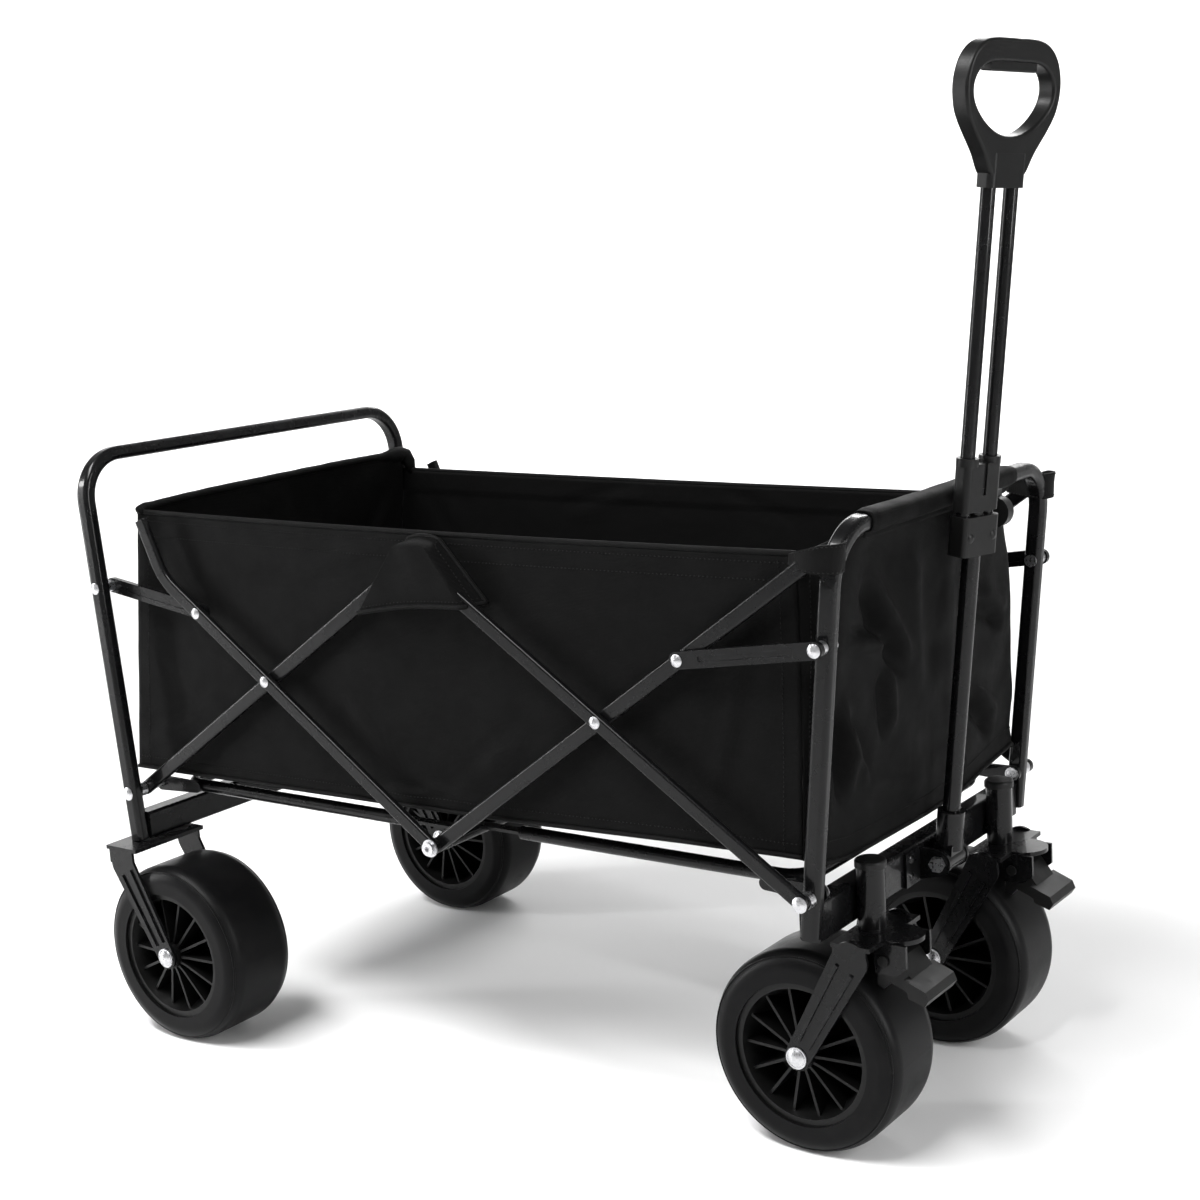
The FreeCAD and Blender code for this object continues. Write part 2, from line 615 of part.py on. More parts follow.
def strut_stud(side):
    """A short rivet held by the rear outer strut; the link's eye lies just inside it."""
    steps = [(OUTER - DEPTH / 2, PIN_R), (outer_face, 5.6), (outer_face + 0.4, 5.6)]
    return pin_y(rear_strut_pin.x, rear_strut_pin.z, side, steps, dome=2.0)


def link_stud(side):
    """A short rivet held by the front end link; the strut's eye lies just inside it."""
    start, end = front_link_layer - link_half, front_link_layer + link_half
    steps = [(start, PIN_R), (end, 5.6), (end + 0.4, 5.6)]
    return pin_y(front_strut_pin.x, front_strut_pin.z, side, steps, dome=2.0)


feature("rear_link_rivets", both_sides(strut_stud))
feature("front_link_rivets", both_sides(link_stud))


# ---------------------------------------------------------------- bolts through the legs

leg_half = val("tube_width") / 2
REAR_LEG = val("rear_half_width")
FRONT_LEG = val("front_half_width")
LUG_OUT = val("floor_half_width") + val("floor_tube_radius") + 3.0
LUG_IN = LUG_OUT - 4.0


SHANK = PIN_R - 0.02
COLLAR_GAP = 0.3


def rear_bolts(side):
    """The frame bolt and the link bolt of one rear leg, each with a collar beside the leg."""
    leg_in, leg_out = REAR_LEG - leg_half, REAR_LEG + leg_half
    lower = [(LUG_IN - 2.2, HEAD), (LUG_IN - 0.4, SHANK), (outer_face - DEPTH + COLLAR_GAP, HEAD),
             (leg_in - 0.1, SHANK), (leg_out, HEAD), (leg_out + 0.4, HEAD)]
    link_in, link_out = rear_link_layer - link_half, rear_link_layer + link_half
    upper = [(link_in - 2.2, 6), (link_in - 0.4, SHANK), (link_out + COLLAR_GAP, 6),
             (leg_in - 0.1, SHANK), (leg_out, 6), (leg_out + 0.4, 6)]
    return [pin_y(REAR_PIN.x, REAR_PIN.z, side, lower, dome=2.0),
            pin_y(rear_link_pin.x, rear_link_pin.z, side, upper, dome=2.0)]


def front_bolts(side):
    """The frame bolt and the link bolt of one front leg, each with a collar beside the leg."""
    leg_in, leg_out = FRONT_LEG - leg_half, FRONT_LEG + leg_half
    lower = [(LUG_IN - 2.2, HEAD), (LUG_IN - 0.4, SHANK), (leg_out + 0.1, HEAD),
             (outer_face - DEPTH - COLLAR_GAP, SHANK), (outer_face + COLLAR_GAP, HEAD),
             (outer_face + 0.7, HEAD)]
    link_in, link_out = front_link_layer - link_half, front_link_layer + link_half
    upper = [(leg_in - 1.8, 6), (leg_in, SHANK), (leg_out + 0.1, 6),
             (link_in - COLLAR_GAP, SHANK), (link_out + COLLAR_GAP, 6), (link_out + 0.7, 6)]
    return [pin_y(FRONT_PIN.x, FRONT_PIN.z, side, lower, dome=2.0),
            pin_y(front_link_pin.x, front_link_pin.z, side, upper, dome=2.0)]


feature("rear_frame_bolts", Part.makeCompound(rear_bolts(NEAR) + rear_bolts(FAR)))
feature("front_frame_bolts", Part.makeCompound(front_bolts(NEAR) + front_bolts(FAR)))


# ---------------------------------------------------------------- folding floor

def floor_frame(name, half_width, mirrored):
    """A U of round tube whose side tubes run to the middle; lugs hang it on the frame pins."""
    body = new_body(name)
    path = new_sketch(body, name + "_path", "XY_Plane")
    w, r = evaluate(half_width), val("floor_bend")
    start, end = val("floor_start"), val("floor_end")
    low = line(path, V(end, -w, 0), V(start + r, -w, 0))
    first = arc(path, V(start + r, r - w, 0), r, math.pi, 1.5 * math.pi)
    cross = line(path, V(start, r - w, 0), V(start, w - r, 0))
    second = arc(path, V(start + r, w - r, 0), r, math.pi / 2, math.pi)
    high = line(path, V(start + r, w, 0), V(end, w, 0))
    tangent(path, low, 2, first, 2)
    tangent(path, first, 1, cross, 1)
    tangent(path, cross, 2, second, 2)
    tangent(path, second, 1, high, 1)
    for flat in (low, high):
        path.addConstraint(Sketcher.Constraint("Horizontal", flat))
    path.addConstraint(Sketcher.Constraint("Vertical", cross))
    path.addConstraint(Sketcher.Constraint("Equal", first, second))
    bind(path, Sketcher.Constraint("Radius", first, r), cell("floor_bend"))
    bind(path, Sketcher.Constraint("DistanceX", -1, 1, cross, 1, start), cell("floor_start"))
    bind(path, Sketcher.Constraint("DistanceX", -1, 1, low, 1, end), cell("floor_end"))
    bind(path, Sketcher.Constraint("DistanceX", -1, 1, high, 2, end), cell("floor_end"))
    bind(path, Sketcher.Constraint("DistanceY", low, 1, -1, 1, w), half_width)
    bind(path, Sketcher.Constraint("DistanceY", -1, 1, high, 2, w), half_width)
    profile = new_sketch(body, name + "_section", "YZ_Plane", V(-w, 0, end))
    radius = val("floor_tube_radius")
    ring = profile.addGeometry(Part.Circle(V(0, 0, 0), Z_AXIS, radius))
    profile.addConstraint(Sketcher.Constraint("Coincident", ring, 3, -1, 1))
    bind(profile, Sketcher.Constraint("Radius", ring, radius), cell("floor_tube_radius"))
    bore = profile.addGeometry(Part.Circle(V(0, 0, 0), Z_AXIS, radius - val("tube_wall")))
    profile.addConstraint(Sketcher.Constraint("Coincident", bore, 3, -1, 1))
    bind(profile, Sketcher.Constraint("Radius", bore, radius - val("tube_wall")),
         f"{cell('floor_tube_radius')} - {cell('tube_wall')}")
    pipe(body, name + "_tube", profile, path)
    doc.recompute()
    lift = val("floor_lift")
    lugs = []
    for side in (NEAR, FAR):
        sheet_from, sheet_to = side * LUG_IN, side * LUG_OUT
        eye = rod_y(8, 0, -lift, sheet_from, sheet_to)
        foot = rod_y(6, start + r, 0, sheet_from, sheet_to)
        web = prism([(-3, -lift + 7.4), (0, -lift - 8), (start + r, -6), (start + r, 6)],
                    min(sheet_from, sheet_to), max(sheet_from, sheet_to))
        lug = eye.fuse([foot, web])
        if mirrored:
            lug = lug.fuse(rod_y(5, start + r, 0, side * (w + 2), sheet_to))
        lug = lug.cut(rod_y(PIN_R + val("running_gap"), 0, -lift, sheet_from * 2, 0))
        lugs.append(lug)
        tongue = plate((end - 14, val("tongue_end") - 6), (side * w - 6, side * w + 6), (-0.7, 2.3))
        tip = cylinder(6, 3, V(val("tongue_end") - 6, side * w, -0.7), Z_AXIS)
        lugs.append(tongue.fuse(tip))
    frame = doc.addObject("Part::Feature", name + "_solid")
    frame.Shape = body.Shape.fuse(lugs).removeSplitter()
    turn = FreeCAD.Rotation(Z_AXIS, 180) if mirrored else FreeCAD.Rotation()
    base = FRONT_PIN if mirrored else REAR_PIN
    frame.Placement = placed(base.x, 0, base.z + lift, turn)
    return keep(frame, name)


REAR_FLOOR = cell("floor_half_width")
FRONT_FLOOR = f"{cell('floor_half_width')} - {cell('floor_nest')}"
floor_frame("rear_floor_frame", REAR_FLOOR, mirrored=False)
floor_frame("front_floor_frame", FRONT_FLOOR, mirrored=True)


def floor_board(name, direction, base):
    """A stiff board on one floor frame, with round corners at its free end."""
    body = new_body(name)
    sketch = new_sketch(body, name + "_outline", "XY_Plane")
    rounded_rectangle(sketch, f"{cell('board_end')} - {cell('board_start')}",
                      f"2 * {cell('board_half_width')}", "12")
    pad(body, name + "_sheet", sketch, cell("board_depth"), both_ways=False)
    middle = (val("board_end") + val("board_start")) / 2
    body.Placement = placed(base.x + direction * middle, 0, val("tub_bottom") + 3)
    return keep(body, name)


floor_board("rear_floor_board", 1, REAR_PIN)
floor_board("front_floor_board", -1, FRONT_PIN)


# ---------------------------------------------------------------- wheels

def tyre(name, x, y):
    """A wide tyre with a flat tread and round shoulders."""
    body = new_body(name)
    sketch = new_sketch(body, name + "_section", "XY_Plane")
    half, outside, seat = val("wheel_width") / 2, val("wheel_radius"), val("rim_radius")
    corners = [V(seat, -half, 0), V(outside, -half, 0), V(outside, half, 0), V(seat, half, 0)]
    edges = [line(sketch, corners[i], corners[(i + 1) % 4]) for i in range(4)]
    for i in range(4):
        sketch.addConstraint(Sketcher.Constraint("Coincident", edges[i], 2, edges[(i + 1) % 4], 1))
    for i in (0, 2):
        sketch.addConstraint(Sketcher.Constraint("Horizontal", edges[i]))
    for i in (1, 3):
        sketch.addConstraint(Sketcher.Constraint("Vertical", edges[i]))
    bind(sketch, Sketcher.Constraint("DistanceX", -1, 1, edges[3], 1, seat), cell("rim_radius"))
    bind(sketch, Sketcher.Constraint("DistanceX", -1, 1, edges[1], 1, outside), cell("wheel_radius"))
    bind(sketch, Sketcher.Constraint("DistanceY", -1, 1, edges[1], 2, half), f"{cell('wheel_width')} / 2")
    bind(sketch, Sketcher.Constraint("DistanceY", edges[0], 1, -1, 1, half), f"{cell('wheel_width')} / 2")
    spin = body.newObject("PartDesign::Revolution", name + "_ring")
    spin.Profile = sketch
    spin.ReferenceAxis = (sketch, ["V_Axis"])
    spin.Angle = 360
    doc.recompute()
    shoulders = []
    for index, edge in enumerate(spin.Shape.Edges, start=1):
        round_edge = isinstance(edge.Curve, Part.Circle)
        if round_edge and abs(edge.Curve.Radius - outside) < 0.01:
            shoulders.append(f"Edge{index}")
    fillet = body.newObject("PartDesign::Fillet", name + "_shoulders")
    fillet.Base = (spin, shoulders)
    fillet.setExpression("Radius", cell("shoulder_radius"))
    body.Placement = placed(x, y, val("wheel_radius"))
    return keep(body, name)


def rim(name, x, y):
    """A moulded rim: a seat for the tyre, a web, a hub and radial ribs on both sides."""
    outer = val("rim_radius") - 0.05
    half = val("wheel_width") / 2
    bore = val("axle_radius") + val("running_gap")
    hub_half = half + 0.6
    lip = outer - 6.0
    seat = cylinder(outer, 2 * half - 6, V(0, 3 - half, 0), Y_AXIS)
    dish = Part.makeCone(lip - 12, lip, half - 9, V(0, 6, 0), Y_AXIS)
    far_dish = Part.makeCone(lip - 12, lip, half - 9, V(0, -6, 0), Y_AXIS * -1)
    wheel = seat.cut([dish, far_dish])
    ribs = []
    count = int(val("rib_count"))
    for index in range(count):
        blade = prism([(10, 6), (lip - 7, 6), (lip - 1, half - 8), (20, half - 5), (10, half - 3)],
                      -1.3, 1.3)
        blade.rotate(V(0, 0, 0), X_AXIS, 90)
        blade.rotate(V(0, 0, 0), Y_AXIS, 360.0 * index / count)
        ribs.append(blade)
        ribs.append(blade.mirror(V(0, 0, 0), Y_AXIS))
    hub = cylinder(val("hub_radius"), 2 * hub_half, V(0, -hub_half, 0), Y_AXIS)
    wheel = wheel.fuse(ribs + [hub]).removeSplitter()
    wheel = wheel.cut(cylinder(bore, 4 * half, V(0, -2 * half, 0), Y_AXIS))
    return feature(name, wheel, placed(x, y, val("wheel_radius")))


REAR_TRACK = val("rear_track")
FRONT_TRACK = val("front_track")
for end_name, axle_x, track in (("rear", AXLE_X, REAR_TRACK), ("front", FRONT_AXLE_X, FRONT_TRACK)):
    for side_name, side in SIDES:
        tyre(f"tyre_{end_name}_{side_name}", axle_x, side * track)
        rim(f"rim_{end_name}_{side_name}", axle_x, side * track)


# ---------------------------------------------------------------- forks

def fork_arm(top, bottom, top_radius, bottom_radius, y_from, y_to, rib_side):
    """One pressed fork arm with two raised ribs and the hole for the wheel bolt."""
    across = bottom - top
    span = across.Length
    slope = math.atan2(across.z, across.x)
    depth = y_to - y_from
    root = cylinder(top_radius, depth, V(0, y_from, 0), Y_AXIS)
    tip = cylinder(bottom_radius, depth, V(span, y_from, 0), Y_AXIS)
    web = prism([(0, -top_radius), (span, -bottom_radius), (span, bottom_radius), (0, top_radius)],
                y_from, y_to)
    arm = root.fuse([tip, web])
    rib_from, rib_to = (y_to - 0.5, y_to + 2.0) if rib_side > 0 else (y_from - 2.0, y_from + 0.5)
    for shift in (-0.46, 0.46):
        edge = [(10, shift * top_radius - 1.6), (span - 15, shift * bottom_radius - 1.2),
                (span - 15, shift * bottom_radius + 1.2), (10, shift * top_radius + 1.6)]
        arm = arm.fuse(prism(edge, rib_from, rib_to))
    arm = arm.removeSplitter().cut(rod_y(val("axle_radius"), span, 0, y_from - 9, y_to + 9))
    arm.Placement = placed(top.x, 0, top.z, turned(-math.degrees(slope)))
    return arm


ARM_IN = val("wheel_width") / 2 + val("arm_gap")
ARM_OUT = ARM_IN + val("arm_depth")
CROWN = val("fork_plate")


def rear_fork(side):
    """A bent crown over the tyre, fixed under the leg and the beam, with an arm each side."""
    middle = side * REAR_TRACK
    crown_top = REAR_BEAM_Z - 1.0
    crown_x = rear_beam_x
    axle = V(AXLE_X, 0, val("wheel_radius"))
    shoulder = V(crown_x + 2, 0, crown_top - 18)
    crown = plate((crown_x - 20, crown_x + 24), (middle - ARM_OUT, middle + ARM_OUT),
                  (crown_top - CROWN, crown_top))
    pieces = [crown]
    for direction in (-1, 1):
        low, high = sorted((middle + direction * ARM_IN, middle + direction * ARM_OUT))
        pieces.append(fork_arm(shoulder, axle, 16, 12, low, high, direction))
        pieces.append(plate((crown_x - 16, crown_x + 18), (low, high), (crown_top - 18, crown_top - 1)))
    return pieces[0].fuse(pieces[1:]).removeSplitter()


for side_name, side in SIDES:
    feature(f"rear_fork_{side_name}", rear_fork(side))

POST_BOTTOM = val("post_bottom")
PLATE_TOP = POST_BOTTOM - 2.0
PEDAL_PIN = V(POST_X + 23, 0, 187)


def caster_fork(side):
    """A swivelling fork: crown plate, kingpin, two ribbed arms and the cheeks of the brake."""
    middle = side * FRONT_TRACK
    axle = V(FRONT_AXLE_X, 0, val("wheel_radius"))
    shoulder = V(POST_X + 2, 0, PLATE_TOP - 14)
    round_plate = cylinder(22, CROWN, V(POST_X + 26, middle, PLATE_TOP - CROWN), Z_AXIS)
    wide_plate = plate((POST_X - 16, POST_X + 22), (middle - ARM_OUT, middle + ARM_OUT),
                       (PLATE_TOP - CROWN, PLATE_TOP))
    nose = plate((POST_X, POST_X + 26), (middle - 22, middle + 22), (PLATE_TOP - CROWN, PLATE_TOP))
    kingpin = cylinder(val("kingpin_radius") - val("running_gap"), val("post_top") - 6 - PLATE_TOP + 1,
                       V(POST_X, middle, PLATE_TOP - 1), Z_AXIS)
    washer = cylinder(12, 1.6, V(POST_X, middle, PLATE_TOP), Z_AXIS)
    pieces = [wide_plate, round_plate, nose, kingpin, washer]
    for direction in (-1, 1):
        low, high = sorted((middle + direction * ARM_IN, middle + direction * ARM_OUT))
        pieces.append(fork_arm(shoulder, axle, 17, 12, low, high, direction))
        pieces.append(plate((POST_X - 14, POST_X + 18), (low, high), (PLATE_TOP - 14, PLATE_TOP - 1)))
        inner = middle + direction * 21
        low, high = sorted((inner, inner + direction * 3))
        cheek = prism([(POST_X + 12, PLATE_TOP - 2), (POST_X + 44, PLATE_TOP - 2),
                       (POST_X + 44, PLATE_TOP - 22), (POST_X + 34, PLATE_TOP - 30),
                       (POST_X + 15, PLATE_TOP - 30)], low, high)
        pieces.append(cheek.cut(rod_y(3.05, PEDAL_PIN.x, PEDAL_PIN.z, low - 1, high + 1)))
    return pieces[0].fuse(pieces[1:]).removeSplitter()


def brake_pedal(side):
    """A foot lever that swings on a pin and carries the shoe above the tyre."""
    middle = side * FRONT_TRACK
    x, z = PEDAL_PIN.x, PEDAL_PIN.z
    lever = prism([(x - 8, z + 3), (x + 2, z + 8), (x + 12, z + 2), (x + 24, z - 14), (x + 40, z - 20),
                   (x + 43, z - 27), (x + 39, z - 33), (x + 28, z - 31), (x + 14, z - 24), (x + 3, z - 20),
                   (x - 3, z - 27), (x - 9, z - 24)], middle - 19.5, middle + 19.5)
    toe = prism([(x + 20, z - 12), (x + 40, z - 20), (x + 43, z - 27), (x + 39, z - 33), (x + 24, z - 28)],
                middle - 27, middle + 27)
    pin = rod_y(3, x, z, middle - 24.6, middle + 24.6)
    heads = [rod_y(5, x, z, middle + way * 24.4, middle + way * 26.4) for way in (-1, 1)]
    return lever.fuse([toe, pin] + heads).removeSplitter()


for side_name, side in SIDES:
    feature(f"caster_fork_{side_name}", caster_fork(side))
    feature(f"brake_pedal_{side_name}", brake_pedal(side))


def hexagon(x, z, y_from, y_to, radius):
    """A hexagonal nut along Y."""
    corners = [(x + radius * math.cos(math.radians(a)), z + radius * math.sin(math.radians(a)))
               for a in range(0, 360, 60)]
    return prism(corners, y_from, y_to)


def axle_bolt(x, middle):
    """A wheel bolt with a round head on one side and a hexagon nut on the other."""
    radius = val("axle_radius") - 0.02
    z = val("wheel_radius")
    steps = [(-ARM_OUT - 5.4, radius), (ARM_OUT + 0.1, 10), (ARM_OUT + 1.6, 8.5), (ARM_OUT + 2.4, 8.5)]
    bolt = pin_y(x, z, NEAR, steps, dome=3.0)
    nut = hexagon(x, z, ARM_OUT + 0.1, ARM_OUT + 5.4, 9)
    bolt = bolt.fuse(nut).removeSplitter()
    bolt.translate(V(0, middle, 0))
    return bolt


feature("rear_axle_bolts", Part.makeCompound([axle_bolt(AXLE_X, side * REAR_TRACK) for side in (NEAR, FAR)]))
for side_name, side in SIDES:
    feature(f"front_axle_bolt_{side_name}", axle_bolt(FRONT_AXLE_X, side * FRONT_TRACK))


# ---------------------------------------------------------------- swivel posts

def swivel_post(side):
    foot = V(POST_X, side * FRONT_TRACK, POST_BOTTOM)
    sleeve = cylinder(val("post_radius"), val("post_top") - POST_BOTTOM, foot, Z_AXIS)
    bore = cylinder(val("kingpin_radius"), 100, V(POST_X, side * FRONT_TRACK, POST_BOTTOM - 5), Z_AXIS)
    return sleeve.cut(bore)


def post_cap(side):
    """A plastic cap with a step, on top of a swivel post."""
    cap = cylinder(14, 7, V(POST_X, side * FRONT_TRACK, val("post_top") + 0.1), Z_AXIS)
    cap = cap.makeFillet(2.5, [edge for edge in cap.Edges if edge.BoundBox.ZMin > val("post_top") + 6])
    return cap


feature("swivel_posts", both_sides(swivel_post))
feature("post_caps", both_sides(post_cap))


# ---------------------------------------------------------------- handle

handle_set = FreeCAD.Placement(HINGE, turned(val("handle_lean")))
turned_set = handle_set.multiply(FreeCAD.Placement(V(0, 0, 0), FreeCAD.Rotation(Z_AXIS, val("handle_turn"))))
EAR_IN, EAR_OUT = 16.0, 19.5
bracket_back = front_beam_x + val("beam_depth") / 2 + 0.2


def handle_bracket():
    """A bent U bracket on the beam's front, with two ears for the hinge bolt and four rivets."""
    x, z = HINGE.x, HINGE.z
    back = plate((bracket_back, bracket_back + 3), (-46, 46), (z - 18, z + 14))
    pieces = [back]
    for side in (NEAR, FAR):
        low, high = sorted((side * EAR_IN, side * EAR_OUT))
        ear = prism([(bracket_back, z - 18), (x, z - 12), (x, z + 12), (bracket_back, z + 14)], low, high)
        pieces.append(ear.fuse(rod_y(12, x, z, low, high)))
        for height in (-10, 7):
            rivet_head = domed(4.5, 2.0, V(bracket_back + 3, side * 36, z + height), X_AXIS)
            pieces.append(rivet_head)
    bracket = pieces[0].fuse(pieces[1:]).removeSplitter()
    return bracket.cut(rod_y(4.0, x, z, -60, 60))


def hinge_bolt():
    x, z = HINGE.x, HINGE.z
    shank = rod_y(3.98, x, z, -EAR_OUT - 2, EAR_OUT + 2)
    nuts = [hexagon(x, z, *sorted((side * EAR_OUT, side * (EAR_OUT + 5))), 7.5) for side in (NEAR, FAR)]
    return shank.fuse(nuts).removeSplitter()


feature("handle_bracket", handle_bracket())
feature("handle_hinge_bolt", hinge_bolt())

YOKE_END = val("yoke_end")
LOWER_R = val("lower_tube_radius")
UPPER_R = val("upper_tube_radius")
UPPER_AT = val("upper_tube_offset")
TUBE_START = 18.0


def handle_yoke():
    """The hinged foot of the handle: an eye for the bolt and a socket in which the tube turns."""
    eye = rod_y(11, 0, 0, -EAR_IN + 0.4, EAR_IN - 0.4)
    neck = plate((-9, 9), (-12, 12), (0, 16))
    socket = cylinder(12.5, YOKE_END - 10, V(0, 0, 10), Z_AXIS)
    yoke = eye.fuse([neck, socket]).removeSplitter()
    yoke = yoke.cut(rod_y(4.05, 0, 0, -60, 60))
    return yoke.cut(cylinder(LOWER_R + val("running_gap"), 100, V(0, 0, TUBE_START - 0.3), Z_AXIS))


feature("handle_yoke", handle_yoke(), handle_set)

COUPLER = val("coupler_start")
COUPLER_END = COUPLER + val("coupler_length")
lower_tube = cylinder(LOWER_R, COUPLER + 20 - TUBE_START, V(0, 0, TUBE_START), Z_AXIS)
lower_tube = lower_tube.cut(cylinder(LOWER_R - 1.5, 600, V(0, 0, TUBE_START + 14), Z_AXIS))
feature("handle_lower_tube", lower_tube, turned_set)


def rounded_block(width, depth, length, start, rounding):
    """A block along the handle with its long edges rounded."""
    block = plate((-depth / 2, depth / 2), (-width / 2, width / 2), (start, start + length))
    upright = [edge for edge in block.Edges if edge.BoundBox.ZLength > length - 0.1]
    return block.makeFillet(rounding, upright)


def upper_pair(radius, start, length):
    return [cylinder(radius, length, V(0, side * UPPER_AT, start), Z_AXIS) for side in (NEAR, FAR)]


def coupler():
    """The head of the lower tube, with two collared guides for the upper tubes."""
    block = rounded_block(46, 18, val("coupler_length"), COUPLER, 6)
    block = block.fuse(upper_pair(UPPER_R + 3.4, COUPLER_END - 2, 7)).removeSplitter()
    guides = upper_pair(UPPER_R + val("running_gap"), COUPLER - 5, 80)
    seat = cylinder(LOWER_R + 0.02, 20.2, V(0, 0, COUPLER), Z_AXIS)
    valley = plate((7.4, 20), (-2.4, 2.4), (COUPLER + 14, COUPLER_END + 1))
    return block.cut(guides + [seat, valley])


feature("handle_coupler", coupler(), turned_set)

SLIDER = val("slider_start")
SLIDER_LENGTH = val("slider_length")


def slider():
    """The runner that joins the feet of the upper tubes and slides on the lower tube."""
    block = rounded_block(46, 21, SLIDER_LENGTH, SLIDER, 5)
    block = block.cut(upper_pair(UPPER_R + 0.02, SLIDER + 6, 60))
    block = block.cut(cylinder(LOWER_R + 0.3, 100, V(0, 0, SLIDER - 10), Z_AXIS))
    for side in (NEAR, FAR):
        head = domed(4.5, 1.8, V(10.4, side * UPPER_AT, SLIDER + 17), X_AXIS)
        block = block.fuse(head)
    return block


feature("handle_slider", slider(), turned_set)
GRIP = val("grip_start")
GRIP_LENGTH = val("grip_length")


def upper_tubes():
    """Two upper tubes, each with a guide groove down its front and back."""
    tubes = []
    for tube in upper_pair(UPPER_R, SLIDER + 6, GRIP + 26 - SLIDER - 6):
        middle = tube.BoundBox.Center.y
        grooves = [cylinder(1.3, 600, V(face * (UPPER_R + 0.3), middle, SLIDER), Z_AXIS) for face in (-1, 1)]
        tubes.append(tube.cut(grooves))
    return Part.makeCompound(tubes)


feature("handle_upper_tubes", upper_tubes(), turned_set)


def smooth_outline(half_points, x):
    """A closed smooth curve, symmetric about Z, through points given for its far half from the top down."""
    far = [V(x, y, z) for y, z in half_points]
    near = [V(x, -y, z) for y, z in reversed(half_points) if y > 0.01]
    curve = Part.BSplineCurve()
    curve.interpolate(Points=far + near, PeriodicFlag=True)
    return Part.Face(Part.Wire(curve.toShape()))


def grip():
    """A D grip: a ring with a collar that takes the upper tubes."""
    depth = val("grip_depth")
    half = val("grip_width") / 2
    wall = val("grip_wall")
    top = GRIP + GRIP_LENGTH
    outside = [(0, 0), (half - 48.5, 0), (half - 35.5, 0.3), (half - 24.5, 2.2), (half - 15.5, 6.5),
               (half - 8.5, 13), (half - 3.5, 21.5), (half - 0.7, 31), (half, 40), (half - 1.3, 50),
               (half - 4.5, 60), (half - 10, 69), (half - 16.5, 77.5), (half - 23.5, 86),
               (half - 30, 94.5), (half - 35, 103), (half - 40.5, 110), (half - 50.5, 113), (0, 113.5)]
    outline = smooth_outline([(y, top - fall) for y, fall in outside], -depth / 2)
    hole = half - wall
    inside = [(0, 19), (hole - 36.5, 19), (hole - 22.5, 19.8), (hole - 11.5, 23.5), (hole - 4, 30),
              (hole - 0.5, 39), (hole - 2, 49), (hole - 8, 58), (hole - 17.5, 66.5),
              (hole - 28.5, 73), (hole - 40.5, 77), (0, 78)]
    hollow = smooth_outline([(y, top - fall) for y, fall in inside], -depth)
    ring = outline.extrude(X_AXIS * depth).cut(hollow.extrude(X_AXIS * 2 * depth))
    ring = ring.makeFillet(3.0, [edge for edge in ring.Edges if edge.BoundBox.XLength < 0.01])
    collar = rounded_block(46, depth + 1, GRIP_LENGTH - 92, GRIP, 6)
    body = ring.fuse(collar)
    recess = plate((-6.1, 6.1), (-30.1, 30.1), (top - 30, top - 10))
    body = body.cut(recess)
    return body.cut(upper_pair(UPPER_R + 0.02, GRIP - 10, 36.1))


feature("handle_grip", grip(), turned_set)


def trigger():
    """The release bar under the grip's top, squeezed upwards by the fingers."""
    top = GRIP + GRIP_LENGTH
    bar = plate((-5.8, 5.8), (-29.8, 29.8), (top - 27, top - 15.2))
    return bar.makeFillet(2.0, [edge for edge in bar.Edges if edge.BoundBox.ZMax < top - 26.9])


feature("grip_trigger", trigger(), turned_set)


def handle_clip():
    """A clip with a round loop on the front top bar, beside the handle."""
    # built in the front frame's own upright plane, about the front pin
    rise = val("front_rise")
    half_x, half_z = val("tube_depth") / 2, val("tube_width") / 2
    start, end = val("clip_start"), val("clip_start") + val("clip_length")
    saddle = plate((-half_x - 3, half_x + 4), (start, end), (rise - half_z - 3, rise + half_z + 4))
    bore = plate((-half_x - 0.2, half_x + 0.2), (start - 1, end + 1),
                 (rise - half_z - 0.2, rise + half_z + 0.2))
    loop = cylinder(14, end - start - 6, V(half_x + 9, start + 3, rise - half_z - 16), Y_AXIS)
    neck = plate((half_x + 0.2, half_x + 10), (start + 3, end - 3), (rise - half_z - 12, rise - half_z + 4))
    return saddle.cut(bore).fuse([loop, neck]).removeSplitter()


feature("handle_clip", handle_clip(), FreeCAD.Placement(FRONT_PIN, front_tilt))


# ---------------------------------------------------------------- fabric tub

CLOTH = val("cloth")
TUB_HALF = val("tub_half_width")
TUB_LOW, TUB_HIGH = val("tub_bottom"), val("tub_top")
REAR_LOW_X, REAR_HIGH_X = REAR_PIN.x - 23, REAR_PIN.x + 15
FRONT_LOW_X, FRONT_HIGH_X = FRONT_PIN.x - 9, FRONT_PIN.x - 3


def side_panel(side):
    """One side of the tub, a flat sheet between the rear and the front panel."""
    low, high = sorted((side * (TUB_HALF - CLOTH), side * TUB_HALF))
    return prism([(REAR_LOW_X, TUB_LOW), (FRONT_LOW_X, TUB_LOW + val("tub_bottom_rise")),
                  (FRONT_HIGH_X, TUB_HIGH), (REAR_HIGH_X, TUB_HIGH)], low, high)


for side_name, side in SIDES:
    feature(f"tub_side_{side_name}", side_panel(side))

